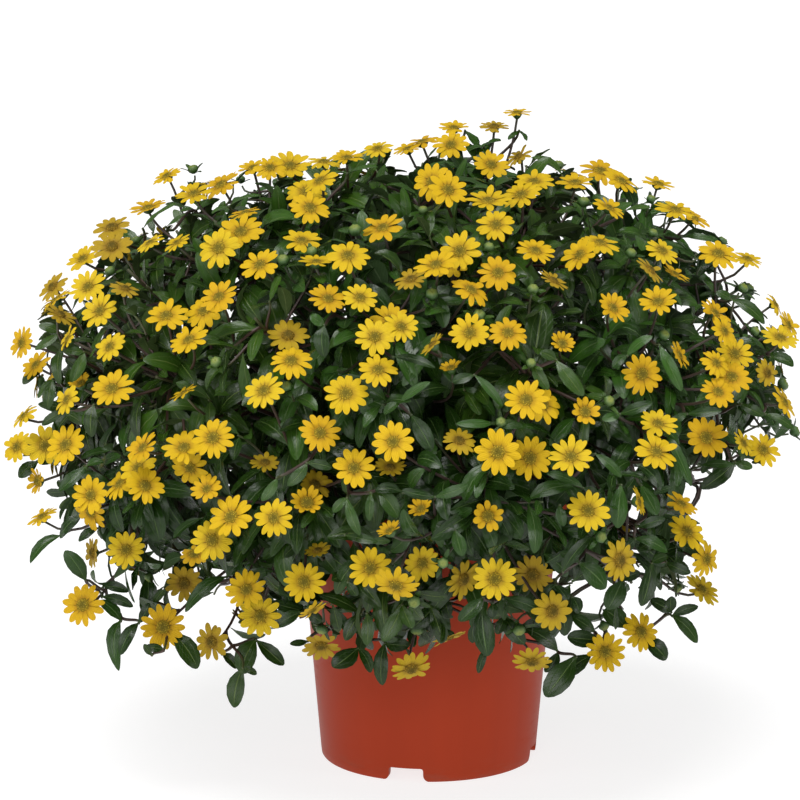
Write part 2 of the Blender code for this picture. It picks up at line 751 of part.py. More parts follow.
def build_shoot(k, sections, path, room, rng):
    owner = ("shoot", k)
    total = cut_lengths(path)[-1]
    skin, top, sides = grow_stem(sections)
    up = np.array((0.0, 0.0, 1.0))
    first = 1 + len(SHOOT_RINGS[0])
    used = []
    turn = rng.uniform(0, math.pi)
    for h, t in enumerate(SHOOT_RINGS[1]):
        q, d = at_length(path, total * t)
        faces = sides[first - 1 + 2 * h + 1]
        turn += math.pi / 2 + rng.uniform(-0.2, 0.2)
        ref = up if abs(d[2]) < 0.8 else np.array((1.0, 0.0, 0.0))
        x = unit(np.cross(ref, d))
        y = np.cross(d, x)
        for half in range(2):
            for attempt in range(120):
                a = turn + half * math.pi + (0.0 if attempt == 0 else rng.uniform(-0.9, 0.9))
                away = x * math.cos(a) + y * math.sin(a)
                way = unit(away * rng.uniform(0.75, 1.0) + d * rng.uniform(0.35, 0.8))
                side, facing = skin.face_towards(faces, way)
                if side is None or facing < 0.25:
                    continue
                root = skin.corners(side)
                mid = np.mean(root, axis=0)
                size = rng.uniform(0.85, 1.2)
                length = LEAF_LENGTH * size * (1.25 if t < 0.75 else 1.0)
                width = LEAF_WIDTH * size
                droop = rng.uniform(0.10, 0.32)
                roll = np.array([rng.uniform(-0.2, 0.2) * min(attempt, 8) for _ in range(3)])
                lift = unit(outward(q) * 0.7 + up * 0.8 + roll)
                (one, two), end = leaf_sections(mid, way, lift, length, width, droop)
                one = rotate_to_match(root, one)
                two = rotate_to_match(one, two)
                lo = np.array(one + two + [end])
                rr = np.hypot(lo[:, 0], lo[:, 1])
                if ((lo[:, 2] < POT_HEIGHT + 0.003) & (rr < RIM_TOP_R + 0.0025)).any() or lo[:, 2].min() < 0.034:
                    continue
                if max(level(p) for p in lo) > 1.07:
                    continue
                out = mid + unit(way) * 0.0032
                fat = loft([swell(root, 0.0005), swell(one, 0.0006), swell(two, 0.0006)], end=end + unit(way) * 0.0008, full=True)
                own = loft([swell([out + (r - mid) * 0.5 for r in root], 0.0), one, two], end=end, full=True)
                if room.free(fat, others_of=owner) and room.free(own, only=owner):
                    before = list(skin.v), dict(skin.f), skin.next
                    f1, _ = skin.extend(side, one, full=True)
                    f2, _ = skin.extend(f1, two, full=True)
                    skin.tip(f2, end)
                    if turned_in(skin, [i for i in skin.f if i >= before[2] or i in faces]):
                        skin.v, skin.f, skin.next = before
                        continue
                    room.add(loft([root, one, two], end=end, full=True), owner)
                    used.append((mid, way, lift, length, width, droop, t))
                    break
    skin.tip(top, path[-1])
    return skin, used


# ---------------------------------------------------------------- pot and soil
def body_r(z):
    return FOOT_R + (BODY_TOP_R - FOOT_R) * z / (POT_HEIGHT - RIM_BAND)


def pot_profile():
    band = POT_HEIGHT - RIM_BAND
    inner_top = RIM_TOP_R - WALL * 1.15
    inner_band = RIM_LOW_R - WALL * 1.15
    p = [
        (0.0, FLOOR_UNDER),
        (FOOT_R - FOOT_THICK - 0.0014, FLOOR_UNDER),
        (FOOT_R - FOOT_THICK, 0.0006),
        (FOOT_R - FOOT_THICK + 0.0006, 0.0),
        (FOOT_R - 0.0006, 0.0),
        (FOOT_R, 0.0006),
    ]
    for t in (0.10, 0.45, 1.0):
        z = (band - 0.002) * t
        p.append((body_r(z), z))
    p += [
        (RIM_LOW_R - 0.0006, band - 0.0004),
        (RIM_LOW_R, band + 0.0006),
        ((RIM_LOW_R + RIM_TOP_R) / 2, band + RIM_BAND * 0.5),
        (RIM_TOP_R, POT_HEIGHT - 0.0009),
        (RIM_TOP_R - 0.0008, POT_HEIGHT),
        (inner_top + 0.0006, POT_HEIGHT),
        (inner_top, POT_HEIGHT - 0.0008),
        (inner_band, band + 0.0030),
        (body_r(band) - WALL, band - 0.0010),
    ]
    for t in (0.5,):
        z = band * t
        p.append((body_r(z) - WALL, z))
    p += [(body_r(FLOOR_TOP) - WALL - 0.0012, FLOOR_TOP + 0.0012), (body_r(FLOOR_TOP) - WALL - 0.0030, FLOOR_TOP), (0.0, FLOOR_TOP)]
    return p


def cutter(name, verts, faces):
    ob = make_object(name, verts, faces, bpy.data.materials[0])
    ob.hide_render = True
    ob.display_type = "WIRE"
    return ob


def notch_cutter(turn, name):
    """A block through the foot ring, with rounded outer corners where it meets the ground."""
    half, h, c = NOTCH_WIDTH / 2, NOTCH_HEIGHT, NOTCH_CORNER
    right = [(half + c + 0.0004, -0.001), (half + c, 0.0)]
    for k in range(1, 5):
        a = math.pi / 2 * k / 4
        right.append((half + c - c * math.sin(a), c - c * math.cos(a)))
    right += [(half, h - 0.0012), (half - 0.0004, h - 0.0004), (half - 0.0012, h)]
    outline = right + [(-x, z) for x, z in reversed(right)]
    verts, n = [], len(outline)
    ca, sa = math.cos(turn), math.sin(turn)
    for r in (FOOT_R - 0.012, FOOT_R + 0.006):
        for x, z in outline:
            # front is -Y: turn the block round the axis
            px, py = x, -r
            verts.append((px * ca - py * sa, px * sa + py * ca, z))
    # the outline runs up the right side and down the left one
    faces = [tuple(reversed(range(n))), tuple(range(n, 2 * n))]
    for i in range(n):
        j = (i + 1) % n
        faces.append((i, j, n + j, n + i))
    return cutter(name, verts, faces)


def hole_cutter(x, y, name):
    verts, faces, n = [], [], 16
    for z in (FLOOR_UNDER - 0.002, FLOOR_TOP + 0.002):
        for k in range(n):
            a = 2 * math.pi * k / n
            verts.append((x + HOLE_R * math.cos(a), y + HOLE_R * math.sin(a), z))
    faces = [tuple(reversed(range(n))), tuple(range(n, 2 * n))]
    for i in range(n):
        j = (i + 1) % n
        faces.append((i, j, n + j, n + i))
    return cutter(name, verts, faces)


def build_pot(mat):
    verts, faces = turned(pot_profile(), POT_SIDES)
    pot = make_object("pot", verts, faces, mat, smooth=True)
    cuts = []
    for k in range(NOTCHES):
        cuts.append(notch_cutter(NOTCH_TURN + k * 2 * math.pi / NOTCHES, f"notch_cutter_{k + 1}"))
        a = NOTCH_TURN + (k + 0.5) * 2 * math.pi / NOTCHES
        cuts.append(hole_cutter(HOLE_RING_R * math.cos(a), HOLE_RING_R * math.sin(a), f"hole_cutter_{k + 1}"))
    cuts.append(hole_cutter(0.0, 0.0, "hole_cutter_middle"))
    for c in cuts:
        m = pot.modifiers.new(c.name, "BOOLEAN")
        m.operation = "DIFFERENCE"
        m.solver = "EXACT"
        m.object = c
    return pot


def build_soil(mat):
    band = POT_HEIGHT - RIM_BAND

    def inner(z):
        return body_r(z) - WALL - GAP * 1.4

    p = [(0.0, FLOOR_TOP + GAP), (body_r(FLOOR_TOP) - WALL - 0.0034, FLOOR_TOP + GAP), (inner(FLOOR_TOP) - 0.0014, FLOOR_TOP + 0.0016)]
    for t in (0.5, 0.97):
        p.append((inner(band * t) - 0.0001, band * t))
    p.append((inner(band) - 0.0006, SOIL_EDGE - 0.0016))
    p.append((inner(band) - 0.0030, SOIL_EDGE))
    for t in (0.72, 0.45, 0.2):
        r = inner(band) * t
        p.append((r, soil_level(r)))
    p.append((0.0, soil_level(0.0)))
    verts, faces = turned(p, POT_SIDES // 2, math.pi / POT_SIDES)
    return make_object("potting_soil", verts, faces, mat, smooth=True)


# ---------------------------------------------------------------- build
def main():
    for ob in list(bpy.data.objects):
        bpy.data.objects.remove(ob, do_unlink=True)
    pot_mat = material("pot_plastic", POT_LOOK)
    soil_mat = material("potting_soil", SOIL_LOOK)
    leaf_mat = material("foliage", LEAF_LOOK)
    bloom_mat = material("petals", BLOOM_LOOK)
    build_pot(pot_mat)
    build_soil(soil_mat)

    blooms = plan_blooms()
    own, seeds = clusters([b[0] for b in blooms], SPRAYS)
    spray_tips = []
    for k in range(SPRAYS):
        c = seeds[k]
        d = c - np.array((0.0, 0.0, DOME_CENTRE))
        spray_tips.append(np.array((0.0, 0.0, DOME_CENTRE)) + d * 0.88 / max(0.3, level(c)))
    shoot_tips = leafy_seeds(spray_tips, SHOOTS)
    tips = spray_tips + shoot_tips
    bases = crown_bases(tips)

    rng = random.Random(SEED + 1)
    room = Room()
    # every stem finds its way first, the low ones before the high ones
    order = sorted(range(len(tips)), key=lambda i: tips[i][2])
    stems = {}
    for k in order:
        spray = k < SPRAYS
        owner = ("spray" if spray else "shoot", k)
        made = free_stem(room, bases[k], tips[k], SPRAY_RINGS if spray else SHOOT_RINGS, owner, rng)
        if made is not None:
            stems[k] = made
            room.add(loft(made[0]) if spray else loft(made[0], end=made[1][-1]), owner)
    kept, leaves, number = 0, 0, 0
    for k in [k for k in order if k < SPRAYS and k in stems]:
        mine = [blooms[i] for i in range(len(blooms)) if own[i] == k]
        skin, used, left = build_spray(k, *stems[k], mine, room, rng)
        number += 1
        kept += len(used)
        write(f"flower_spray_{number:02d}", skin, bloom_mat)
    number = 0
    for k in [k for k in order if k >= SPRAYS and k in stems]:
        skin, used = build_shoot(k, *stems[k], room, random.Random(SEED + 100 + k))
        number += 1
        leaves += len(used)
        write(f"leafy_shoot_{number:02d}", skin, leaf_mat)
    tris = 0
    for o in bpy.data.objects:
        if o.type == "MESH" and not o.hide_render:
            tris += sum(len(q.vertices) - 2 for q in o.data.polygons)
    print("stems", len(stems), "blooms planned", len(blooms), "kept", kept, "leaves", leaves, "triangles", tris)


def write(name, skin, mat):
    make_object(name, skin.v, list(skin.f.values()), mat)


main()
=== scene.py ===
"""The looks of the potted creeping zinnia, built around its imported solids: a moulded red-brown pot, its soil, and the
plant's stems with their leaves, buds and blooms.

Metres, +Z up, -Y is the front. The plant is laid out about the pot's axis and moved into place as each piece is made.
"""

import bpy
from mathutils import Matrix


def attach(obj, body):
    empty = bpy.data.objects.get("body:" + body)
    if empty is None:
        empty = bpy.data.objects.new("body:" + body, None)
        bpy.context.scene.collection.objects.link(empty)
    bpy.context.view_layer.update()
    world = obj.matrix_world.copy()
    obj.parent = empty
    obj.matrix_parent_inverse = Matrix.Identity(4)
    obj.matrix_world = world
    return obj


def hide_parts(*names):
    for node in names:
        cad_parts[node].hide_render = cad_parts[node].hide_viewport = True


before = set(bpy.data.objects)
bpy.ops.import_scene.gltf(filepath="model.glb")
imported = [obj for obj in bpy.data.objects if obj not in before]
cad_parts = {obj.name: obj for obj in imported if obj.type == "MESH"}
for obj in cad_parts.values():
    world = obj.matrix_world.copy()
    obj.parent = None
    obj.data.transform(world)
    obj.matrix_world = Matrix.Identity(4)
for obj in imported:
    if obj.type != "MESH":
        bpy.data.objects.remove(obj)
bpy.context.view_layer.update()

import math
import random

import bpy
import numpy as np
from mathutils import Vector
from mathutils.bvhtree import BVHTree

# ---------------------------------------------------------------- driving dimensions
POT_AXIS = (0.0097, 0.0061)  # where the pot's axis stands, from the middle of the footprint
GAP = 0.0003  # between pieces that touch

POT_HEIGHT = 0.1340
FOOT_R = 0.0533  # outer radius on the ground
BODY_TOP_R = 0.0632  # outer radius just under the rim band
RIM_LOW_R = 0.0667  # rim band, lower edge
RIM_TOP_R = 0.0691  # rim band, top edge
RIM_BAND = 0.0190  # height of the rim band
WALL = 0.0018
FOOT_THICK = 0.0034  # foot ring, on the ground
FLOOR_UNDER = 0.0080  # underside of the raised floor
FLOOR_TOP = 0.0100
POT_SIDES = 40

NOTCHES = 4  # drainage notches through the foot ring
NOTCH_WIDTH = 0.0170
NOTCH_HEIGHT = 0.0070
NOTCH_CORNER = 0.0036
NOTCH_TURN = math.radians(-12.4)  # first notch, from the front towards the left
HOLE_R = 0.0045  # drain holes through the raised floor
HOLE_RING_R = 0.0330

SOIL_EDGE = 0.1205  # soil height along the wall
SOIL_CROWN = 0.1245  # soil height in the middle
SOIL_R = 0.0605  # radius of the soil's crowned part

DOME_CENTRE = 0.160  # height of the dome's widest level
DOME_UP = 0.142  # from there to the top
DOME_DOWN = 0.090  # from there to the hem
DOME_SIDE = 0.1925  # mean reach to the left and the right
DOME_LEAN = 0.0095  # how much further it reaches to the left
DOME_DEPTH = 0.188  # reach to the front and the back
DOME_POWER_UP = 2.5
DOME_POWER_DOWN = 2.2

FLOWER_R = 0.0100  # open bloom
SMALL_R = 0.0065  # opening bloom
HEAD_DEPTH = 0.0030
STALK_R = 0.0008
STEM_R = 0.0015
LEAF_LENGTH = 0.031
LEAF_WIDTH = 0.0115
CROWN_R = 0.030  # stems leave the soil inside this radius

LAST_HUB = 0.89  # how far along a flowering stem its last stalks leave it
SPRAYS = 28  # flowering stems
SHOOTS = 28  # leafy shoots
SEED = 17

# The front blooms are laid out on a chart of 800 by 800 squares, as seen from EYE with the line of sight
# tipped down by TIP; LENS is the chart's distance in squares. Kinds: f open and facing, e seen from its edge,
# s small and opening, d set deeper among the leaves.
EYE = (-0.01425, -1.634, 0.4997)
TIP = math.radians(11.12)
LENS = 3400.0
BLOOMS = (
    (167, 176, "e"), (194, 194, "e"), (221, 185, "e"), (148, 208, "e"), (112, 228, "f"), (112, 247, "f"),
    (83, 259, "f"), (150, 243, "e"), (177, 243, "e"), (219, 248, "f"), (241, 232, "f"), (260, 265, "f"),
    (245, 213, "e"), (253, 168, "e"), (270, 168, "e"), (290, 166, "e"), (320, 181, "f"), (306, 192, "f"),
    (310, 208, "f"), (324, 162, "e"), (347, 158, "e"), (378, 149, "e"), (383, 228, "f"), (302, 241, "f"),
    (316, 262, "e"), (348, 256, "f"), (88, 287, "f"), (100, 311, "f"), (125, 289, "f"), (53, 287, "f"),
    (60, 315, "f"), (166, 316, "f"), (219, 297, "f"), (204, 311, "f"), (189, 340, "f"), (22, 343, "f"),
    (68, 339, "e"), (110, 347, "f"), (36, 365, "f"), (328, 299, "f"), (360, 298, "f"), (288, 336, "d"),
    (291, 361, "f"), (375, 337, "f"), (390, 320, "f"), (378, 370, "f"), (264, 391, "f"), (346, 394, "f"),
    (112, 389, "f"), (67, 400, "f"), (81, 384, "s"), (184, 393, "e"), (24, 416, "e"), (17, 447, "f"),
    (45, 445, "f"), (66, 445, "f"), (38, 481, "s"), (91, 495, "f"), (91, 512, "f"), (42, 517, "e"),
    (143, 448, "f"), (138, 468, "f"), (145, 486, "f"), (120, 484, "f"), (184, 448, "f"), (213, 438, "f"),
    (190, 467, "f"), (207, 489, "f"), (265, 463, "d"), (320, 433, "f"), (353, 467, "f"), (393, 442, "f"),
    (390, 468, "d"), (315, 485, "d"), (307, 503, "s"), (231, 517, "f"), (274, 518, "f"), (212, 540, "f"),
    (194, 553, "s"), (126, 550, "f"), (93, 553, "e"), (184, 583, "d"), (246, 589, "f"), (260, 616, "f"),
    (83, 605, "f"), (163, 627, "f"), (212, 642, "d"), (304, 582, "f"), (318, 551, "d"), (312, 610, "e"),
    (370, 568, "f"), (396, 585, "f"), (390, 531, "s"), (422, 563, "d"), (463, 579, "d"), (495, 579, "f"),
    (533, 574, "d"), (488, 516, "s"), (552, 611, "f"), (588, 511, "f"), (321, 645, "f"), (411, 668, "f"),
    (532, 661, "e"), (605, 652, "f"), (641, 632, "f"), (619, 560, "f"), (517, 113, "e"), (454, 128, "e"),
    (451, 145, "e"), (494, 127, "e"), (422, 142, "e"), (408, 149, "e"), (491, 165, "f"), (432, 182, "f"),
    (448, 190, "f"), (519, 157, "e"), (534, 182, "e"), (521, 195, "f"), (488, 201, "f"), (496, 225, "f"),
    (575, 183, "e"), (600, 171, "e"), (621, 181, "e"), (658, 184, "e"), (675, 210, "e"), (693, 218, "e"),
    (609, 208, "f"), (460, 251, "f"), (436, 265, "f"), (452, 264, "f"), (498, 273, "f"), (535, 251, "f"),
    (600, 243, "f"), (580, 255, "f"), (663, 252, "f"), (718, 254, "f"), (747, 259, "e"), (650, 270, "e"),
    (675, 274, "e"), (411, 280, "f"), (471, 290, "f"), (553, 281, "e"), (613, 308, "f"), (658, 302, "f"),
    (715, 313, "f"), (724, 331, "f"), (775, 304, "e"), (788, 325, "f"), (780, 338, "f"), (470, 333, "f"),
    (508, 333, "f"), (433, 345, "e"), (562, 344, "s"), (642, 374, "f"), (679, 355, "e"), (735, 354, "f"),
    (732, 377, "f"), (716, 363, "f"), (767, 373, "f"), (718, 392, "f"), (451, 368, "s"), (526, 400, "f"),
    (543, 405, "f"), (401, 327, "f"), (784, 402, "e"), (585, 412, "s"), (658, 424, "f"), (656, 452, "f"),
    (706, 438, "f"), (743, 443, "e"), (763, 450, "f"), (459, 441, "d"), (498, 452, "f"), (530, 458, "f"),
    (571, 457, "f"), (681, 504, "f"), (687, 532, "f"), (706, 559, "f"), (702, 590, "f"), (638, 501, "e"),
    (421, 509, "s"),
)


# ---------------------------------------------------------------- small helpers


def unit(v):
    n = float(np.linalg.norm(v))
    return v / n if n > 1e-12 else np.array((0.0, 0.0, 1.0))


def turned(profile, sides, turn=0.0):
    """Turns a profile of (radius, height) that starts and ends on the axis, listed from the under side outwards
    and up round the outer side, and back in over the top."""
    verts, faces = [], []
    rings = []
    for r, z in profile:
        if r < 1e-9:
            rings.append([len(verts)])
            verts.append((0.0, 0.0, z))
        else:
            rings.append(list(range(len(verts), len(verts) + sides)))
            for k in range(sides):
                a = turn + 2 * math.pi * k / sides
                verts.append((r * math.cos(a), r * math.sin(a), z))
    for low, high in zip(rings, rings[1:]):
        for k in range(sides):
            j = (k + 1) % sides
            if len(low) == 1:
                faces.append((low[0], high[j], high[k]))
            elif len(high) == 1:
                faces.append((low[k], low[j], high[0]))
            else:
                faces.append((low[k], low[j], high[j], high[k]))
    return verts, faces


# ---------------------------------------------------------------- the dome that the foliage fills
def reach(phi):
    side = DOME_SIDE - DOME_LEAN * math.cos(phi)
    c, s = math.cos(phi) / side, math.sin(phi) / DOME_DEPTH
    a = 1.0 / math.sqrt(c * c + s * s)
    return a * (1.0 + 0.018 * math.sin(3 * phi + 0.6) + 0.012 * math.sin(5 * phi + 2.1))


def level(p):
    """How far out p lies: 1 on the dome's surface, 0 at its centre."""
    r = math.hypot(p[0], p[1])
    up = p[2] - DOME_CENTRE
    if r < 1e-9:
        return abs(up) / (DOME_UP if up > 0 else DOME_DOWN)
    a = reach(math.atan2(p[1], p[0]))
    h, n = (DOME_UP, DOME_POWER_UP) if up > 0 else (DOME_DOWN, DOME_POWER_DOWN)
    return ((r / a) ** n + (abs(up) / h) ** n) ** (1.0 / n)


def outward(p):
    """The dome's outward direction at p."""
    e = 0.002
    g = [level(p + e * np.eye(3)[i]) - level(p - e * np.eye(3)[i]) for i in range(3)]
    return unit(np.array(g))


def dome_point(phi, psi, f=1.0):
    """The surface point at azimuth phi and tilt psi above the widest level."""
    d = np.array((math.cos(psi) * math.cos(phi), math.cos(psi) * math.sin(phi), math.sin(psi)))
    c = np.array((0.0, 0.0, DOME_CENTRE))
    return c + d * f / (level(c + d * 0.1) / 0.1)


def from_chart(x, y, depth):
    """The point where the line of sight through a chart square meets the dome's level `depth`, or passes nearest."""
    ahead = np.array((0.0, math.cos(TIP), -math.sin(TIP)))
    above = np.array((0.0, math.sin(TIP), math.cos(TIP)))
    d = unit(ahead + np.array((1.0, 0, 0)) * (x - 400.0) / LENS - above * (y - 400.0) / LENS)
    eye = np.array(EYE)
    best, where = 1e9, None
    t = 1.36
    while t < 2.0:
        p = eye + d * t
        f = level(p)
        if f < best:
            best, where = f, p
        if f <= depth:
            return p, d
        t += 0.002
    return where, d


def on_chart(p):
    """Where a point shows on the chart."""
    ahead = np.array((0.0, math.cos(TIP), -math.sin(TIP)))
    above = np.array((0.0, math.sin(TIP), math.cos(TIP)))
    v = np.asarray(p, float) - np.array(EYE)
    far = float(np.dot(v, ahead))
    return 400.0 + LENS * float(v[0]) / far, 400.0 - LENS * float(np.dot(v, above)) / far


def plan_blooms():
    """Every bloom: (centre, facing, radius, small)."""
    rng = random.Random(SEED)
    out = []

    def jitter(s):
        return np.array([rng.uniform(-s, s) for _ in range(3)])

    up = np.array((0.0, 0.0, 1.0))
    for x, y, kind in BLOOMS:
        depth = {"f": 0.985, "e": 0.985, "s": 0.95, "d": 0.86}[kind] + rng.uniform(-0.03, 0.02)
        p, sight = from_chart(x, y, depth)
        if out:
            step = max(
                (0.0, 0.008, -0.006, 0.014, -0.010, 0.020),
                key=lambda t: min(0.0165, min(float(np.linalg.norm(p + sight * t - q[0])) for q in out)) - abs(t) * 0.05,
            )
            p = p + sight * step
        n = outward(p)
        if kind == "e":
            f = unit(n * 0.7 + up * 0.8 + jitter(0.25))
            across = unit(f + sight * float(np.dot(f, -sight)))
            share = 0.20 if y < 120 else rng.uniform(0.32, 0.50)
            f = unit(across * math.sqrt(1 - share * share) - sight * share)
        else:
            high = min(1.0, max(0.0, (310.0 - y) / 130.0))
            f = unit(n * 0.9 - sight * (0.80 - 0.50 * high) + up * (0.10 + 0.12 * high) + jitter(0.24))
        r = SMALL_R if kind == "s" else FLOWER_R * rng.uniform(0.93, 1.05)
        out.append((p, f, r, kind == "s"))
    # the sides, back, top and hem that the chart doesn't cover
    golden = math.pi * (3 - math.sqrt(5))
    count = 1500
    order = list(range(count))
    rng.shuffle(order)
    for k in order:
        s = 1 - 2 * (k + 0.5) / count
        if s < -0.80:
            continue
        psi, phi = math.asin(s), (k * golden) % (2 * math.pi)
        p = dome_point(phi, psi, rng.uniform(0.93, 1.0))
        n = outward(p)
        if math.hypot(p[0], p[1]) < 0.092 and p[2] < 0.150:
            continue
        to_eye = unit(np.array(EYE) - p)
        if float(np.dot(n, to_eye)) > 0.16:
            continue
        x, y = on_chart(p)
        if (x > 702 and y > 474) or (x < 66 and y > 556) or y > 640:
            continue
        room = 0.0255 if s > -0.1 else 0.031
        if min(float(np.linalg.norm(p - q[0])) for q in out) < room:
            continue
        f = unit(n + up * 0.30 + jitter(0.28))
        small = rng.random() < 0.08
        out.append((p, f, SMALL_R if small else FLOWER_R * rng.uniform(0.92, 1.05), small))
    return out


def clusters(points, count):
    """Groups the points into `count` near groups, and returns each point's group."""
    pts = np.array(points)
    seeds = [pts[int(np.argmax(pts[:, 2]))]]
    while len(seeds) < count:
        d = np.min([np.linalg.norm(pts - s, axis=1) for s in seeds], axis=0)
        seeds.append(pts[int(np.argmax(d))])
    seeds = np.array(seeds)
    for _ in range(14):
        d = np.linalg.norm(pts[:, None, :] - seeds[None, :, :], axis=2)
        own = np.argmin(d, axis=1)
        for k in range(count):
            if (own == k).any():
                seeds[k] = pts[own == k].mean(axis=0)
    return own, seeds


def leafy_seeds(taken, count):
    """Tips of the leafy shoots, spread over the dome as far as possible from the flowering stems and each other."""
    golden = math.pi * (3 - math.sqrt(5))
    cand = []
    for k in range(700):
        s = 1 - 2 * (k + 0.5) / 700
        if s < -0.72:
            continue
        p = dome_point((k * golden) % (2 * math.pi), math.asin(s), 0.93)
        if math.hypot(p[0], p[1]) < 0.100 and p[2] < 0.150:
            continue
        cand.append(p)
    cand = np.array(cand)
    near = np.min([np.linalg.norm(cand - t, axis=1) for t in taken], axis=0)
    out = []
    for _ in range(count):
        k = int(np.argmax(near))
        out.append(cand[k])
        near = np.minimum(near, np.linalg.norm(cand - cand[k], axis=1))
    return out


def soil_level(r):
    return SOIL_EDGE + (SOIL_CROWN - SOIL_EDGE) * (1 - min(1.0, r / SOIL_R) ** 2)


def crown_bases(tips):
    """Where each stem leaves the soil: on its own side of the crown, none nearer than about 5 mm to another."""
    bases = []
    for k, tip in enumerate(tips):
        phi = math.atan2(tip[1], tip[0])
        low = (DOME_CENTRE + DOME_UP - tip[2]) / (DOME_UP + DOME_DOWN)
        r = 0.005 + (CROWN_R - 0.005) * min(1.0, low * 1.15)
        bases.append([r * math.cos(phi), r * math.sin(phi)])
    b = np.array(bases)
    for _ in range(200):
        for i in range(len(b)):
            d = b[i] - b
            dist = np.linalg.norm(d, axis=1)
            dist[i] = 1.0
            for j in np.where(dist < 0.0056)[0]:
                push = d[j] / max(dist[j], 1e-6) if dist[j] > 1e-6 else np.array((1.0, 0.0))
                b[i] += push * (0.0056 - dist[j]) * 0.5
                b[j] -= push * (0.0056 - dist[j]) * 0.5
        r = np.linalg.norm(b, axis=1)
        far = r > CROWN_R
        b[far] *= (CROWN_R / r[far])[:, None]
    return [np.array((x, y, soil_level(math.hypot(x, y)) + GAP)) for x, y in b]


def bezier(p0, p1, p2, p3, t):
    s = 1 - t
    return p0 * s**3 + p1 * 3 * s * s * t + p2 * 3 * s * t * t + p3 * t**3


def stem_curve(base, tip, lift=0.0, sway=(0.0, 0.0)):
    """A stem's four control points: up out of the soil, over the rim and on to its tip."""
    n = outward(tip)
    flat = unit(np.array((tip[0], tip[1], 0.0)))
    side = np.array((-flat[1], flat[0], 0.0))
    low = max(0.0, (DOME_CENTRE + 0.04 - tip[2]) / 0.13)  # 0 above the widest level, about 1 at the hem
    rise = 0.036 + 0.022 * min(1.0, low) + lift
    p1 = base + np.array((0, 0, rise)) + flat * (0.010 + 0.016 * min(1.0, low)) + side * sway[0]
    back = 0.050 + 0.040 * min(1.0, low)
    p2 = tip - n * back + np.array((0, 0, 0.030 * min(1.0, low) + lift)) + side * sway[1]
    return p1, p2


def clears_pot(points, room):
    for p in points:
        r = math.hypot(p[0], p[1])
        if p[2] < POT_HEIGHT + room and 0.050 < r < RIM_TOP_R + room - 0.0005:
            return False
    return True


def stem_points(base, tip, count, sway):
    lift = 0.0
    while True:
        p1, p2 = stem_curve(base, tip, lift, sway)
        fine = [bezier(base, p1, p2, tip, k / 60.0) for k in range(61)]
        if clears_pot(fine, 0.007) or lift > 0.06:
            break
        lift += 0.005
    return [bezier(base, p1, p2, tip, k / (count - 1.0)) for k in range(count)]


# ---------------------------------------------------------------- one closed skin grown face by face
class Skin:
    """A closed triangle skin. Any face can be drawn out into a tube, a leaf or a bloom."""

    def __init__(self):
        self.v = []
        self.f = {}
        self.next = 0

    def vert(self, p):
        self.v.append(np.array(p, float))
        return len(self.v) - 1

    def face(self, a, b, c):
        self.f[self.next] = (a, b, c)
        self.next += 1
        return self.next - 1

    def ring(self, centre, d, radius, like=None):
        """Three points round `centre`, in turn about d, lined up with the face `like`."""
        d = unit(d)
        ref = np.array((0.0, 0.0, 1.0)) if abs(d[2]) < 0.9 else np.array((1.0, 0.0, 0.0))
        x = unit(np.cross(ref, d))
        if like is not None:
            a = like[0] - np.mean(like, axis=0)
            a = a - d * np.dot(a, d)
            if np.linalg.norm(a) > 1e-9:
                x = unit(a)
        y = np.cross(d, x)
        return [centre + radius * (x * math.cos(q) + y * math.sin(q)) for q in (0, 2 * math.pi / 3, 4 * math.pi / 3)]

    def start(self, centre, d, radius):
        pts = self.ring(centre, d, radius)
        a, b, c = (self.vert(p) for p in pts)
        self.face(a, c, b)
        return self.face(a, b, c)

    def corners(self, face):
        return [self.v[i] for i in self.f[face]]

    def extend(self, face, pts, full=False):
        """Draws a face out to the three points, and gives the new end face and its six side faces. A full one folds
        each side outwards, whichever way it is split."""
        a, b, c = self.f.pop(face)
        x, y, z = (self.vert(p) for p in pts)
        foot = (self.v[a] + self.v[b] + self.v[c]) / 3
        d = unit((self.v[x] + self.v[y] + self.v[z]) / 3 - foot)

        def out(p, q):
            w = (self.v[p] + self.v[q]) / 2 - foot
            return float(np.linalg.norm(w - d * np.dot(w, d)))

        sides = []
        for (i, j), (m, n) in (((a, b), (x, y)), ((b, c), (y, z)), ((c, a), (z, x))):
            if full and out(j, m) > out(i, n):
                sides.append(self.face(i, j, m))
                sides.append(self.face(j, n, m))
            else:
                sides.append(self.face(i, j, n))
                sides.append(self.face(i, n, m))
        return self.face(x, y, z), sides

    def tip(self, face, p):
        a, b, c = self.f.pop(face)
        k = self.vert(p)
        for i, j in ((a, b), (b, c), (c, a)):
            self.face(i, j, k)

    def bloom(self, face, rim, apex):
        a, b, c = self.f.pop(face)
        r = [self.vert(p) for p in rim]
        k = self.vert(apex)
        for (i, j), (m, n, o) in (((a, b), (0, 1, 2)), ((b, c), (2, 3, 4)), ((c, a), (4, 5, 0))):
            self.face(i, j, r[n])
            self.face(j, r[o], r[n])
            self.face(i, r[n], r[m])
        for i in range(6):
            self.face(r[i], r[(i + 1) % 6], k)

    def face_towards(self, faces, d):
        best, which = -2.0, None
        for k in faces:
            if k not in self.f:
                continue
            a, b, c = self.corners(k)
            n = unit(np.cross(b - a, c - a))
            if float(np.dot(n, d)) > best:
                best, which = float(np.dot(n, d)), k
        return which, best


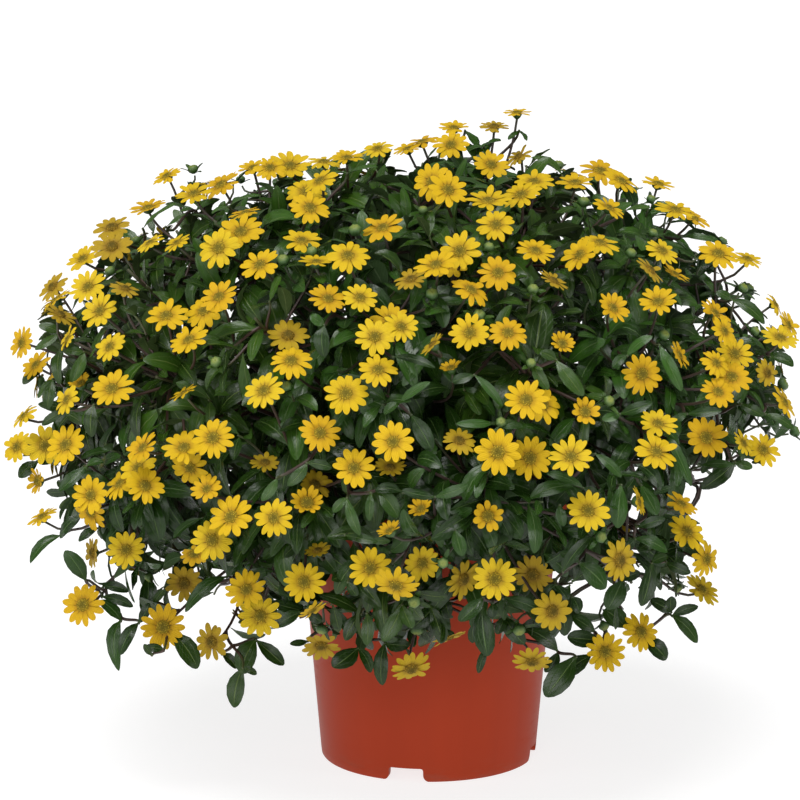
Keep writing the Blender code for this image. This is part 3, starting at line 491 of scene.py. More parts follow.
def turned_in(skin, faces):
    """How many of the faces have no solid just behind them, as where a skin passes through itself."""
    tri = np.array([[skin.v[i] for i in f] for f in skin.f.values()])
    own = np.array([[skin.v[i] for i in skin.f[k]] for k in faces])
    n = np.cross(own[:, 1] - own[:, 0], own[:, 2] - own[:, 0])
    p = own.mean(axis=1) - n / np.linalg.norm(n, axis=1)[:, None] * 1e-7
    a, b, c = (tri[None, :, k] - p[:, None] for k in range(3))
    la, lb, lc = (np.linalg.norm(x, axis=2) for x in (a, b, c))
    num = (a * np.cross(b, c)).sum(axis=2)
    den = la * lb * lc + (a * b).sum(axis=2) * lc + (b * c).sum(axis=2) * la + (c * a).sum(axis=2) * lb
    turns = np.arctan2(num, den).sum(axis=1) / (2 * math.pi)
    return int((turns < 0.5).sum())


class Room:
    """Keeps pieces clear of each other: every organ that is placed is held as a small search tree."""

    def __init__(self):
        self.low, self.high, self.tree, self.owner = [], [], [], []

    @staticmethod
    def make(verts, faces):
        return BVHTree.FromPolygons([Vector(v) for v in verts], faces, all_triangles=True)

    def free(self, shape, others_of=None, only=None):
        """Whether a shape is clear: of everything, of everything but one plant's own, or only of its own."""
        verts, faces = shape
        v = np.array(verts)
        lo, hi = v.min(axis=0), v.max(axis=0)
        if not self.tree:
            return True
        hit = np.where(((np.array(self.low) <= hi) & (np.array(self.high) >= lo)).all(axis=1))[0]
        if not len(hit):
            return True
        tree = self.make(verts, faces)
        for k in hit:
            if others_of is not None and self.owner[k] == others_of:
                continue
            if only is not None and self.owner[k] != only:
                continue
            if self.tree[k].overlap(tree):
                return False
        return True

    def add(self, shape, owner):
        verts, faces = shape
        v = np.array(verts)
        self.low.append(v.min(axis=0))
        self.high.append(v.max(axis=0))
        self.tree.append(self.make(verts, faces))
        self.owner.append(owner)


def swell(pts, by):
    """Corners of a section moved out from its middle."""
    c = np.mean(pts, axis=0)
    return [p + unit(p - c) * by for p in pts]


def loft(sections, end=None, rim=None, apex=None, full=False):
    """A closed skin through triangular sections, ending flat, in a point, or in a bloom."""
    s = Skin()
    a, b, c = (s.vert(p) for p in sections[0])
    s.face(a, c, b)
    top = s.face(a, b, c)
    for sec in sections[1:]:
        top, _ = s.extend(top, sec, full)
    if end is not None:
        s.tip(top, end)
    if rim is not None:
        s.bloom(top, rim, apex)
    return s.v, list(s.f.values())


def stem_sections(points, radius, taper):
    """Sections of a stem through its points."""
    d = unit(np.array((0.0, 0.0, 1.0)))
    s = Skin()
    out = [s.ring(points[0], d, radius)]
    lengths = cut_lengths(points)
    for k in range(1, len(points)):
        if k < len(points) - 1:
            d = unit(unit(points[k] - points[k - 1]) + unit(points[k + 1] - points[k]))
        else:
            d = unit(points[k] - points[k - 1])
        r = radius * (1 - taper * lengths[k] / lengths[-1])
        out.append(s.ring(points[k], d, r, out[-1]))
    return out


def bloom_rim(p, f, r, like):
    f = unit(f)
    a = like[0] - np.mean(like, axis=0)
    x = unit(a - f * np.dot(a, f))
    y = np.cross(f, x)
    rim = []
    for k in range(6):
        q = k * math.pi / 3
        rim.append(p + r * (x * math.cos(q) + y * math.sin(q)))
    return rim


def leaf_sections(root, d, up, length, width, droop):
    """The leaf's two cross-sections and its tip: each section is keel, right edge, left edge."""
    d = unit(d)
    up = unit(up - d * np.dot(up, d))
    w = np.cross(up, d)
    down = np.array((0.0, 0.0, -1.0))
    out = []
    for t, wide in ((0.34, 0.86), (0.68, 0.95)):
        c = root + d * length * t + down * droop * length * t * t
        half = 0.5 * width * wide
        out.append([c - up * 0.0007, c + w * half + up * 0.0011, c - w * half + up * 0.0011])
    return out, root + d * length * 0.985 + down * droop * length


def rotate_to_match(face_pts, section):
    """The order of a section's corners, in turn, that lies nearest to the face's own."""
    centre_a, centre_b = np.mean(face_pts, axis=0), np.mean(section, axis=0)
    best, order = 1e9, 0
    for k in range(3):
        s = section[k:] + section[:k]
        cost = 0.0
        for a, b in zip(face_pts, s):
            u, v = unit(a - centre_a), unit(b - centre_b)
            cost += float(np.linalg.norm(u - v))
        if cost < best:
            best, order = cost, k
    return section[order:] + section[:order]


# ---------------------------------------------------------------- the plant's plan
def cut_lengths(points):
    d = [0.0]
    for a, b in zip(points, points[1:]):
        d.append(d[-1] + float(np.linalg.norm(b - a)))
    return d


def at_length(points, s):
    d = cut_lengths(points)
    s = max(0.0, min(s, d[-1]))
    for k in range(1, len(points)):
        if s <= d[k] or k == len(points) - 1:
            t = (s - d[k - 1]) / max(1e-9, d[k] - d[k - 1])
            return points[k - 1] * (1 - t) + points[k] * t, unit(points[k] - points[k - 1])


def marks_of(total, shares):
    """Where a stem's rings lie: single ones low down, then a close pair at every place where something leaves it."""
    low, high = shares
    out = [0.0] + [total * t for t in low]
    for t in high:
        out += [total * t - 0.0010, total * t + 0.0010]
    return out


SPRAY_RINGS = ((0.14, 0.30, 0.41), (0.50, 0.64, 0.77, LAST_HUB))
SHOOT_RINGS = ((0.12, 0.24, 0.35), (0.48, 0.61, 0.73, 0.84, 0.94))


def free_stem(room, base, tip, shares, owner, rng):
    """A stem from its base to its tip that clears every stem already there: its sections and its path."""
    for attempt in range(60):
        sway = (0.0, 0.0) if attempt == 0 else (rng.uniform(-0.016, 0.016), rng.uniform(-0.026, 0.026))
        path = stem_points(base, tip, 41, sway)
        total = cut_lengths(path)[-1]
        marks = marks_of(total, shares)
        pts = [at_length(path, s)[0] for s in marks]
        pts[0] = base
        if room.free(loft([swell(q, 0.0009) for q in stem_sections(pts, STEM_R, 0.4)])):
            return stem_sections(pts, STEM_R, 0.4), path
    return None


def grow_stem(sections):
    """The stem's skin, with the side faces of each close pair of rings."""
    skin = Skin()
    a, b, c = (skin.vert(p) for p in sections[0])
    skin.face(a, c, b)
    top = skin.face(a, b, c)
    sides = []
    for q in sections[1:]:
        top, side = skin.extend(top, q)
        sides.append(side)
    return skin, top, sides


def build_spray(k, sections, path, blooms, room, rng):
    owner = ("spray", k)
    total = cut_lengths(path)[-1]
    hub_s = [total * t for t in SPRAY_RINGS[1]]
    first = 1 + len(SPRAY_RINGS[0])
    last = min(range(len(blooms)), key=lambda i: float(np.linalg.norm(blooms[i][0] - path[-1])))
    hubs = [[] for _ in hub_s]
    for i, b in enumerate(blooms):
        if i == last:
            continue
        neck = b[0] - b[1] * HEAD_DEPTH
        best, which = 1e9, None
        for h, s in enumerate(hub_s):
            if len(hubs[h]) >= 6:
                continue
            q, d = at_length(path, s)
            v = neck - q
            far = float(np.linalg.norm(v))
            bend = math.acos(max(-1.0, min(1.0, float(np.dot(unit(v), d)))))
            cost = far * (1.0 + 0.6 * max(0.0, bend - 0.9) ** 2 + 2.0 * max(0.0, bend - 1.7)) + 0.004 * len(hubs[h])
            if cost < best:
                best, which = cost, h
        if which is not None:
            hubs[which].append(i)
    skin, top, sides = grow_stem(sections)
    used, left = [], []

    def put(face, i, q, way_min):
        """Draws a stalk and its bloom out of a face, if there is room."""
        nonlocal used
        p, f, rad, small = blooms[i]
        for attempt in range(30):
            loose = 0.12 + 0.02 * attempt
            f2 = f if attempt == 0 else unit(f + np.array([rng.uniform(-loose, loose) for _ in range(3)]))
            slack = 0.0 if attempt < 4 else 0.0015 + 0.0002 * attempt
            p2 = p + np.array([rng.uniform(-slack, slack) for _ in range(3)])
            neck = p2 - f2 * HEAD_DEPTH
            way = unit(neck - q)
            side, facing = (face, 1.0) if isinstance(face, int) else skin.face_towards(face, way)
            if side is None or facing < way_min:
                return False
            root = skin.corners(side)
            mid = np.mean(root, axis=0)
            if isinstance(face, int) and float(np.dot(way, unit(np.cross(root[1] - root[0], root[2] - root[0])))) < 0.25:
                return False
            ring = skin.ring(neck, unit(unit(neck - mid) + f2), STALK_R, root)
            rim, apex = bloom_rim(p2, f2, rad, ring), p2 + f2 * 0.0012
            out = mid + unit(neck - mid) * 0.0030
            clear = skin.ring(out, unit(neck - mid), STALK_R + 0.0002, root)
            fat = loft([swell(root, 0.0005), swell(ring, 0.0005)], rim=swell(bloom_rim(p2 - f2 * 0.0004, f2, rad, ring), 0.0006), apex=apex + f2 * 0.0005)
            own = loft([clear, swell(ring, 0.0002)], rim=rim, apex=apex)
            if room.free(fat, others_of=owner) and room.free(own, only=owner):
                end, _ = skin.extend(side, ring)
                skin.bloom(end, rim, apex)
                room.add(loft([root, ring], rim=rim, apex=apex), owner)
                used.append((p2, f2, rad, small, mid, neck))
                return True
        return False

    for h in range(len(hub_s)):
        q, d = at_length(path, hub_s[h])
        faces = sides[first - 1 + 2 * h + 1]
        for i in sorted(hubs[h], key=lambda i: float(np.linalg.norm(blooms[i][0] - q))):
            if not put(faces, i, q, 0.15):
                left.append(i)
    if not put(top, last, at_length(path, hub_s[-1])[0], 0.0):
        left.append(last)
    # a bloom that found no room at its own place on the stem tries the others
    for i in list(left):
        for h in range(len(hub_s) - 1, -1, -1):
            q, d = at_length(path, hub_s[h])
            if put(sides[first - 1 + 2 * h + 1], i, q, 0.15):
                left.remove(i)
                break
    return skin, used, [blooms[i] for i in left]


def build_shoot(k, sections, path, room, rng):
    owner = ("shoot", k)
    total = cut_lengths(path)[-1]
    skin, top, sides = grow_stem(sections)
    up = np.array((0.0, 0.0, 1.0))
    first = 1 + len(SHOOT_RINGS[0])
    used = []
    turn = rng.uniform(0, math.pi)
    for h, t in enumerate(SHOOT_RINGS[1]):
        q, d = at_length(path, total * t)
        faces = sides[first - 1 + 2 * h + 1]
        turn += math.pi / 2 + rng.uniform(-0.2, 0.2)
        ref = up if abs(d[2]) < 0.8 else np.array((1.0, 0.0, 0.0))
        x = unit(np.cross(ref, d))
        y = np.cross(d, x)
        for half in range(2):
            for attempt in range(120):
                a = turn + half * math.pi + (0.0 if attempt == 0 else rng.uniform(-0.9, 0.9))
                away = x * math.cos(a) + y * math.sin(a)
                way = unit(away * rng.uniform(0.75, 1.0) + d * rng.uniform(0.35, 0.8))
                side, facing = skin.face_towards(faces, way)
                if side is None or facing < 0.25:
                    continue
                root = skin.corners(side)
                mid = np.mean(root, axis=0)
                size = rng.uniform(0.85, 1.2)
                length = LEAF_LENGTH * size * (1.25 if t < 0.75 else 1.0)
                width = LEAF_WIDTH * size
                droop = rng.uniform(0.10, 0.32)
                roll = np.array([rng.uniform(-0.2, 0.2) * min(attempt, 8) for _ in range(3)])
                lift = unit(outward(q) * 0.7 + up * 0.8 + roll)
                (one, two), end = leaf_sections(mid, way, lift, length, width, droop)
                one = rotate_to_match(root, one)
                two = rotate_to_match(one, two)
                lo = np.array(one + two + [end])
                rr = np.hypot(lo[:, 0], lo[:, 1])
                if ((lo[:, 2] < POT_HEIGHT + 0.003) & (rr < RIM_TOP_R + 0.0025)).any() or lo[:, 2].min() < 0.034:
                    continue
                if max(level(p) for p in lo) > 1.07:
                    continue
                out = mid + unit(way) * 0.0032
                fat = loft([swell(root, 0.0005), swell(one, 0.0006), swell(two, 0.0006)], end=end + unit(way) * 0.0008, full=True)
                own = loft([swell([out + (r - mid) * 0.5 for r in root], 0.0), one, two], end=end, full=True)
                if room.free(fat, others_of=owner) and room.free(own, only=owner):
                    before = list(skin.v), dict(skin.f), skin.next
                    f1, _ = skin.extend(side, one, full=True)
                    f2, _ = skin.extend(f1, two, full=True)
                    skin.tip(f2, end)
                    if turned_in(skin, [i for i in skin.f if i >= before[2] or i in faces]):
                        skin.v, skin.f, skin.next = before
                        continue
                    room.add(loft([root, one, two], end=end, full=True), owner)
                    used.append((mid, way, lift, length, width, droop, t))
                    break
    skin.tip(top, path[-1])
    return skin, used


# ---------------------------------------------------------------- pot
def body_r(z):
    return FOOT_R + (BODY_TOP_R - FOOT_R) * z / (POT_HEIGHT - RIM_BAND)


# ---------------------------------------------------------------- more of the plant's plan
# Buds, laid out on the same chart as the blooms.
BUDS = (
    (193, 169), (312, 251), (283, 260), (287, 386), (216, 362), (110, 271), (355, 230), (432, 294), (423, 210),
    (743, 288), (653, 233), (479, 315), (664, 335), (531, 363), (755, 331), (651, 199), (584, 202), (558, 165),
    (489, 247), (533, 289), (631, 253), (609, 401), (501, 422), (601, 537), (443, 563), (678, 588), (519, 630),
    (414, 602), (604, 626), (421, 510),
)
# Leaves that stand out, on the same chart: where the leaves of a node are joined, how deep the node lies in
# the dome, and the tip and the width of each of its leaves, and how far some of them bow to one side.
NODES = (
    (61, 536, 0.95, ((31, 563, 15, -0.34), (80, 517, 14))), (86, 581, 0.95, ((66, 550, 20),)), (103, 587, 0.95, ((129, 591, 13, 0.28),)),
    (102, 597, 0.94, ((134, 606, 13),)), (154, 604, 0.93, ((166, 589, 10),)), (164, 650, 0.95, ((144, 648, 11),)),
    (121, 621, 0.95, ((119, 670, 21, -0.58), (100, 600, 16))), (139, 623, 0.95, ((121, 654, 16, -0.24), (150, 603, 12))),
    (147, 576, 0.91, ((145, 613, 21), (166, 562, 14))), (172, 632, 0.95, ((198, 668, 24, 0.05),)),
    (243, 668, 0.95, ((234, 707, 22, -0.20), (257, 674, 9))), (256, 640, 0.95, ((241, 673, 27, -0.16), (284, 665, 17, -0.05))),
    (227, 577, 0.88, ((186, 611, 17, -0.32), (246, 560, 14))), (222, 654, 0.95, ((237, 668, 12),)),
    (367, 613, 0.97, ((367, 645, 16), (371, 588, 15))), (402, 605, 0.97, ((383, 641, 20), (412, 628, 16))),
    (361, 614, 0.93, ((318, 594, 16), (345, 640, 16))), (358, 648, 0.97, ((333, 667, 24), (371, 672, 14))),
    (385, 643, 0.97, ((382, 685, 18), (410, 645, 17))), (442, 599, 0.95, ((411, 628, 25), (449, 618, 14))),
    (451, 576, 0.97, ((425, 603, 20), (470, 566, 13))), (483, 597, 0.97, ((459, 621, 18), (500, 592, 12))),
    (482, 607, 0.97, ((487, 656, 26), (472, 628, 16))), (486, 648, 0.97, ((478, 673, 10),)),
    (493, 603, 0.96, ((492, 618, 13),)), (503, 598, 0.97, ((544, 613, 16), (486, 590, 12))),
    (505, 616, 0.95, ((524, 644, 20), (497, 634, 13))), (558, 652, 0.95, ((526, 628, 19), (545, 672, 14))),
    (348, 582, 0.97, ((357, 596, 12),)), (393, 563, 0.97, ((415, 588, 14), (376, 552, 12))),
    (308, 612, 0.96, ((271, 602, 16), (322, 622, 13))), (302, 612, 0.95, ((277, 626, 15),)), (308, 641, 0.95, ((290, 644, 9),)),
    (576, 657, 0.95, ((545, 696, 29, 0.06),)), (592, 654, 0.95, ((556, 677, 21, 0.08),)),
    (595, 632, 0.95, ((572, 616, 16),)), (626, 628, 0.93, ((604, 609, 24),)),
    (645, 640, 0.95, ((666, 659, 20, 0.10),)), (672, 616, 0.96, ((697, 642, 17, 0.26), (698, 606, 12))), (666, 562, 0.95, ((690, 573, 13),)),
    (741, 404, 0.97, ((763, 416, 13),)), (765, 414, 0.98, ((794, 430, 11),)),
    (60, 333, 0.97, ((39, 325, 13, -0.15), (36, 350, 11))), (46, 364, 0.95, ((23, 384, 15, -0.10),)),
    (84, 352, 0.97, ((72, 382, 15), (66, 350, 11))), (53, 379, 0.96, ((48, 409, 15, -0.12), (38, 398, 8, -0.2))),
    (65, 412, 0.96, ((42, 425, 11, -0.2), (84, 424, 12))), (94, 405, 0.97, ((92, 437, 17),)),
    (38, 462, 0.96, ((19, 477, 16, -0.1), (60, 458, 13))), (87, 466, 0.97, ((60, 491, 15, 0.12), (104, 462, 11))),
    (81, 516, 0.96, ((60, 538, 14, -0.3), (98, 512, 11))), (99, 528, 0.95, ((79, 541, 11, -0.2),)),
    (600, 640, 0.92, ((567, 637, 21),)), (152, 655, 0.92, ((144, 644, 8),)),
    (671, 612, 0.96, ((671, 596, 14), (650, 600, 16))), (652, 563, 0.96, ((641, 606, 19, 0.12), (668, 556, 13))),
    (622, 580, 0.94, ((607, 609, 24), (640, 572, 14))), (579, 563, 0.97, ((606, 588, 25), (560, 552, 14))),
    (556, 585, 0.95, ((568, 600, 14), (545, 596, 12))), (572, 597, 0.94, ((579, 613, 15),)),
    (465, 131, 1.00, ((478, 147, 14),)), (484, 147, 0.98, ((501, 141, 16), (468, 152, 14))),
    (519, 131, 1.02, ((527, 141, 9), (508, 140, 8))), (562, 176, 0.98, ((531, 158, 16), (580, 186, 12))),
    (347, 174, 0.98, ((378, 168, 12), (330, 176, 10))), (229, 207, 0.97, ((261, 196, 12), (212, 214, 10))),
    (196, 211, 0.98, ((220, 199, 12), (178, 214, 10))), (143, 229, 0.98, ((177, 204, 10),)),
    (166, 227, 0.97, ((186, 214, 13),)), (625, 211, 0.98, ((650, 208, 12), (610, 216, 12))),
    (681, 238, 0.98, ((719, 244, 10), (664, 236, 10))), (731, 300, 0.98, ((764, 324, 15, 0.24), (716, 292, 12))),
    (770, 357, 0.98, ((793, 366, 15, 0.20),)), (324, 325, 0.98, ((324, 357, 19), (310, 316, 13))),
    (400, 403, 0.97, ((430, 382, 11), (384, 414, 12))), (411, 415, 0.93, ((432, 451, 20),)),
    (393, 357, 0.97, ((435, 368, 12),)), (474, 375, 0.95, ((502, 406, 11), (452, 382, 13))),
    (495, 423, 0.97, ((456, 424, 12), (522, 426, 12))), (307, 463, 0.97, ((288, 486, 15), (332, 468, 12))),
    (277, 478, 0.97, ((262, 501, 13),)), (347, 498, 0.97, ((360, 535, 13), (333, 512, 11))),
    (371, 493, 0.96, ((369, 521, 11),)), (378, 490, 0.94, ((398, 517, 20),)), (435, 497, 0.98, ((402, 490, 12), (468, 485, 13))),
    (345, 535, 0.97, ((378, 542, 12),)), (390, 552, 0.96, ((411, 531, 20), (374, 556, 13))),
    (455, 530, 0.95, ((462, 556, 17), (436, 524, 13))), (556, 360, 0.96, ((583, 396, 18), (540, 352, 13))),
    (627, 356, 0.98, ((652, 336, 13), (612, 368, 12))), (620, 414, 0.97, ((652, 403, 14), (602, 420, 12))),
    (687, 414, 0.97, ((721, 411, 13), (672, 424, 11))), (659, 345, 0.99, ((681, 391, 15),)),
    (666, 432, 0.99, ((690, 486, 13),)), (735, 462, 0.96, ((701, 489, 20), (752, 468, 12))),
    (583, 488, 0.97, ((546, 473, 12), (600, 500, 12))), (595, 454, 0.97, ((621, 477, 12),)),
    (621, 485, 0.96, ((617, 528, 21),)), (641, 485, 0.97, ((657, 515, 19),)), (637, 527, 0.96, ((665, 518, 13),)),
    (635, 539, 0.96, ((667, 552, 16), (622, 552, 12))), (560, 505, 0.95, ((563, 526, 13),)),
    (563, 572, 0.98, ((590, 537, 15),)), (533, 363, 0.97, ((548, 390, 14),)),
)
# How far the foliage reaches, seen from the front, and openings between the leaves; x, y and two half widths.
EDGE = (
    (168, 650), (134, 656), (124, 676), (108, 664), (98, 634), (74, 606), (56, 590), (28, 568), (30, 520), (14, 478),
    (12, 430), (20, 400), (16, 345), (32, 320), (46, 286), (76, 258), (104, 232), (136, 214), (158, 190), (200, 176),
    (250, 164), (300, 162), (372, 148), (440, 130), (490, 122), (520, 104), (536, 128), (560, 156), (604, 166),
    (660, 184), (700, 210), (728, 242), (746, 264), (756, 284), (768, 300), (774, 318), (782, 345), (796, 362),
    (798, 374), (788, 382), (790, 400), (798, 432), (778, 442), (766, 470), (742, 476), (724, 482), (702, 490), (698, 502),
    (708, 545), (712, 575), (710, 600), (706, 646), (672, 664), (630, 662), (600, 690), (548, 702), (528, 664),
    (498, 664), (482, 680), (440, 662), (412, 684), (380, 692), (346, 680), (312, 664), (290, 664), (262, 690),
    (234, 712), (222, 690), (202, 676),
)
OPENINGS = (
    (206, 611, 24, 11), (226, 598, 15, 10), (284, 632, 9, 8), (158, 512, 5, 5), (591, 594, 19, 15), (559, 641, 7, 7),
    (629, 600, 11, 8), (635, 512, 9, 7), (631, 568, 9, 9), (690, 500, 10, 10), (626, 395, 4, 3), (638, 432, 5, 3),
    (726, 426, 5, 5), (752, 432, 9, 6), (616, 454, 5, 4), (150, 640, 4, 6), (112, 612, 6, 4),
    (741, 316, 11, 9), (728, 273, 11, 9), (502, 146, 7, 13), (400, 162, 12, 7), (161, 214, 10, 7), (303, 627, 7, 8),
    (234, 191, 8, 7), (417, 158, 7, 8), (605, 191, 8, 7), (70, 284, 7, 8), (88, 542, 8, 6), (542, 172, 8, 5),
    (277, 644, 7, 6), (52, 475, 6, 6), (635, 578, 7, 5), (160, 581, 6, 7), (774, 320, 6, 7), (686, 595, 6, 6),
    (666, 593, 5, 7), (662, 222, 6, 6), (76, 530, 6, 6), (131, 611, 6, 5), (623, 524, 5, 6), (576, 628, 7, 4),
    (696, 479, 5, 5), (250, 189, 8, 4), (126, 629, 4, 6), (103, 428, 4, 6), (116, 592, 9, 3), (615, 195, 4, 7),
    (597, 550, 4, 6), (27, 427, 6, 4), (627, 216, 6, 4), (626, 542, 4, 6), (643, 217, 6, 4), (345, 170, 4, 5),
    (709, 302, 5, 4), (336, 171, 4, 4), (478, 136, 4, 4), (265, 178, 5, 4), (148, 546, 4, 4), (695, 469, 4, 4),
    (358, 165, 5, 3), (84, 558, 3, 5), (731, 294, 4, 4), (701, 315, 4, 4), (680, 230, 4, 4), (84, 272, 4, 4),
    (177, 232, 4, 4), (90, 521, 3, 5), (696, 250, 5, 3), (694, 244, 8, 3), (169, 239, 3, 4), (635, 548, 3, 4),
    (130, 528, 3, 5), (222, 573, 4, 3), (150, 236, 3, 4), (106, 415, 4, 3), (75, 486, 4, 3), (56, 320, 4, 3),
    (672, 229, 3, 4), (101, 594, 4, 3), (73, 462, 3, 3), (755, 340, 4, 3), (308, 180, 3, 4), (32, 421, 3, 4),
    (511, 174, 3, 3), (676, 482, 3, 3), (630, 498, 3, 4), (300, 190, 3, 3), (213, 570, 3, 3), (139, 283, 3, 3),
    (724, 452, 3, 4), (690, 559, 4, 3), (330, 586, 5, 4), (351, 592, 5, 4), (353, 636, 4, 5), (454, 608, 4, 8),
    (455, 623, 4, 6), (490, 545, 3, 3), (515, 553, 4, 3), (545, 525, 4, 3), (559, 502, 5, 4), (512, 590, 3, 6),
)
# The width of each bloom of the chart in its order, in hundredths of a common one.
SIZES = (
    85, 110, 105, 100, 105, 103, 100, 85, 80, 110, 115, 105, 85, 92, 92, 115, 95, 103, 105, 95, 90, 85, 103, 100, 85,
    105, 100, 95, 80, 90, 95, 105, 103, 103, 105, 95, 75, 95, 100, 95, 90, 105, 105, 103, 100, 105, 105, 105, 110, 90,
    90, 80, 90, 95, 115, 110, 100, 103, 103, 90, 100, 103, 103, 100, 103, 105, 103, 85, 74, 105, 105, 105, 85, 90,
    115, 115, 105, 110, 103, 105, 80, 104, 105, 116, 118, 118, 95, 103, 74, 85, 110, 115, 85, 100, 105, 110, 105, 105,
    110, 110, 100, 105, 95, 105, 105, 105, 85, 88, 100, 80, 95, 90, 95, 110, 103, 85, 103, 103, 110, 105, 105, 115,
    110, 90, 105, 103, 90, 110, 103, 103, 105, 100, 105, 100, 100, 105, 90, 85, 80, 85, 105, 85, 90, 105, 88, 84, 72,
    85, 105, 105, 105, 74, 90, 105, 80, 100, 98, 86, 74, 94, 75, 103, 103, 90, 95, 100, 100, 110, 110, 74, 103, 90,
    115, 110, 105, 85, 105, 95, 105, 85, 85,
)
# How each bloom of the chart shows, in the chart's order: its short way across in hundredths of its long one, and
# the direction of the short way, in degrees from the right.
LEANS = (
    (40, 120), (50, 105), (45, 120), (35, 105), (55, 105), (75, 105), (55, 120), (30, 120), (35, 120), (85, 135),
    (70, 105), (70, 120), (25, 105), (45, 105), (65, 90), (65, 90), (50, 120), (70, 90), (75, 75), (30, 90), (40, 90),
    (50, 105), (55, 105), (55, 90), (35, 90), (70, 90), (75, 120), (80, 135), (45, 75), (55, 135), (45, 60),
    (65, 105), (70, 120), (70, 120), (55, 120), (60, 165), (35, 150), (65, 135), (50, 135), (70, 75), (75, 75),
    (75, 90), (75, 90), (90, 90), (80, 90), (75, 90), (80, 120), (90, 90), (75, 105), (55, 150), (50, 120), (25, 120),
    (35, 135), (75, 150), (95, 60), (80, 135), (60, 0), (90, 165), (70, 30), (40, 120), (55, 135), (80, 120),
    (90, 60), (50, 135), (75, 105), (90, 120), (80, 45), (80, 120), (60, 90), (95, 90), (95, 90), (95, 90), (60, 90),
    (80, 60), (90, 90), (85, 135), (95, 150), (100, 0), (70, 90), (95, 120), (40, 0), (95, 90), (90, 120), (100, 0),
    (90, 150), (100, 0), (85, 0), (100, 0), (50, 105), (30, 120), (100, 0), (65, 75), (50, 120), (90, 135), (70, 150),
    (100, 0), (90, 60), (100, 0), (90, 165), (90, 60), (65, 90), (65, 105), (60, 90), (95, 15), (85, 30), (75, 0),
    (25, 90), (40, 90), (75, 105), (40, 90), (30, 105), (30, 105), (70, 75), (90, 120), (80, 60), (40, 120), (50, 90),
    (60, 105), (45, 90), (80, 90), (40, 90), (50, 75), (40, 60), (30, 75), (40, 75), (30, 60), (45, 60), (90, 120),
    (60, 105), (70, 105), (85, 75), (55, 75), (45, 75), (65, 135), (55, 60), (65, 75), (40, 75), (30, 45), (25, 60),
    (55, 105), (55, 60), (35, 60), (70, 45), (70, 90), (45, 45), (60, 30), (30, 30), (40, 25), (55, 75), (90, 105),
    (80, 75), (25, 135), (80, 60), (95, 15), (35, 30), (85, 60), (80, 75), (70, 45), (72, 15), (70, 60), (50, 105),
    (90, 75), (80, 60), (80, 60), (35, 30), (90, 45), (65, 75), (75, 60), (85, 45), (50, 30), (80, 45), (75, 75),
    (100, 0), (100, 0), (80, 90), (50, 60), (70, 45), (70, 0), (55, 45), (25, 15), (70, 120),
)
# Blooms given the darker ochre tones, by their number in the chart: some have turned ochre, and on those that lie in
# the shade of others the darker tone is painted shade.
OCHRE = (4, 5, 28, 29, 30, 41, 68, 72, 73, 80, 81, 86, 88, 94, 96, 97, 98, 100, 101, 102, 105, 109, 115, 137, 139, 141, 151, 158, 171)
UP = np.array((0.0, 0.0, 1.0))
SIGHT = np.array((0.0, math.cos(TIP), -math.sin(TIP)))
ABOVE = np.array((0.0, math.sin(TIP), math.cos(TIP)))
EYE_AT = np.array(EYE)


def chart_of(p):
    """Where points show on the chart, and how far ahead of the eye they are."""
    v = np.atleast_2d(p) - EYE_AT
    z = v @ SIGHT
    return 400 + LENS * v[:, 0] / z, 400 - LENS * (v @ ABOVE) / z, z


def within(x, y, ring):
    """Which of the chart's points lie inside a closed line."""
    ring = np.array(ring, float)
    x0, y0 = ring[:, 0], ring[:, 1]
    x1, y1 = np.roll(x0, -1), np.roll(y0, -1)
    x, y = np.asarray(x)[:, None], np.asarray(y)[:, None]
    cross = (y0 > y) != (y1 > y)
    at = x0 + (y - y0) * (x1 - x0) / np.where(y1 == y0, 1e-9, y1 - y0)
    return ((cross & (x < at)).sum(axis=1) % 2) == 1


def bare(p, more=13.0):
    """Whether a place shows outside the foliage, or in one of its openings."""
    x, y, z = chart_of(p)
    if not within(x[0] + np.array((0, 10, -10, 0, 0)), y[0] + np.array((0, 0, 0, -9, 9)), EDGE).all():
        return True
    if any(math.hypot(x[0] - bx, y[0] - by) < 16 for bx, by in BUDS):
        return True
    return any(((x[0] - gx) / (gw + more)) ** 2 + ((y[0] - gy) / (gh + more)) ** 2 < 1 for gx, gy, gw, gh in OPENINGS if gw > 5)


def turned_head(p, f, rad, small, charted):
    """A bloom of the plan, turned the way it shows on the chart: (centre, facing, radius, small, number or None)."""
    found = None
    for i, (q, g, r, s) in enumerate(charted):
        if s == small and (small or abs(r - rad) < 1e-9) and np.linalg.norm(q - p) < 0.016:
            if found is None or np.linalg.norm(q - p) < np.linalg.norm(charted[found][0] - p):
                found = i
    if found is None:
        return p, f, rad, small, None
    rad = rad * SIZES[found] / 100.0
    share, turn = LEANS[found]
    share, turn = share / 100.0, math.radians(turn)
    v = unit(p - EYE_AT)
    right = unit(np.cross(v, UP))
    flat = right * math.cos(turn) + np.cross(right, v) * math.sin(turn)
    if np.dot(flat, outward(p) + UP * 0.6) < 0:
        flat = -flat
    return p, unit(flat * math.sqrt(1 - share * share) - v * share), rad, small, found


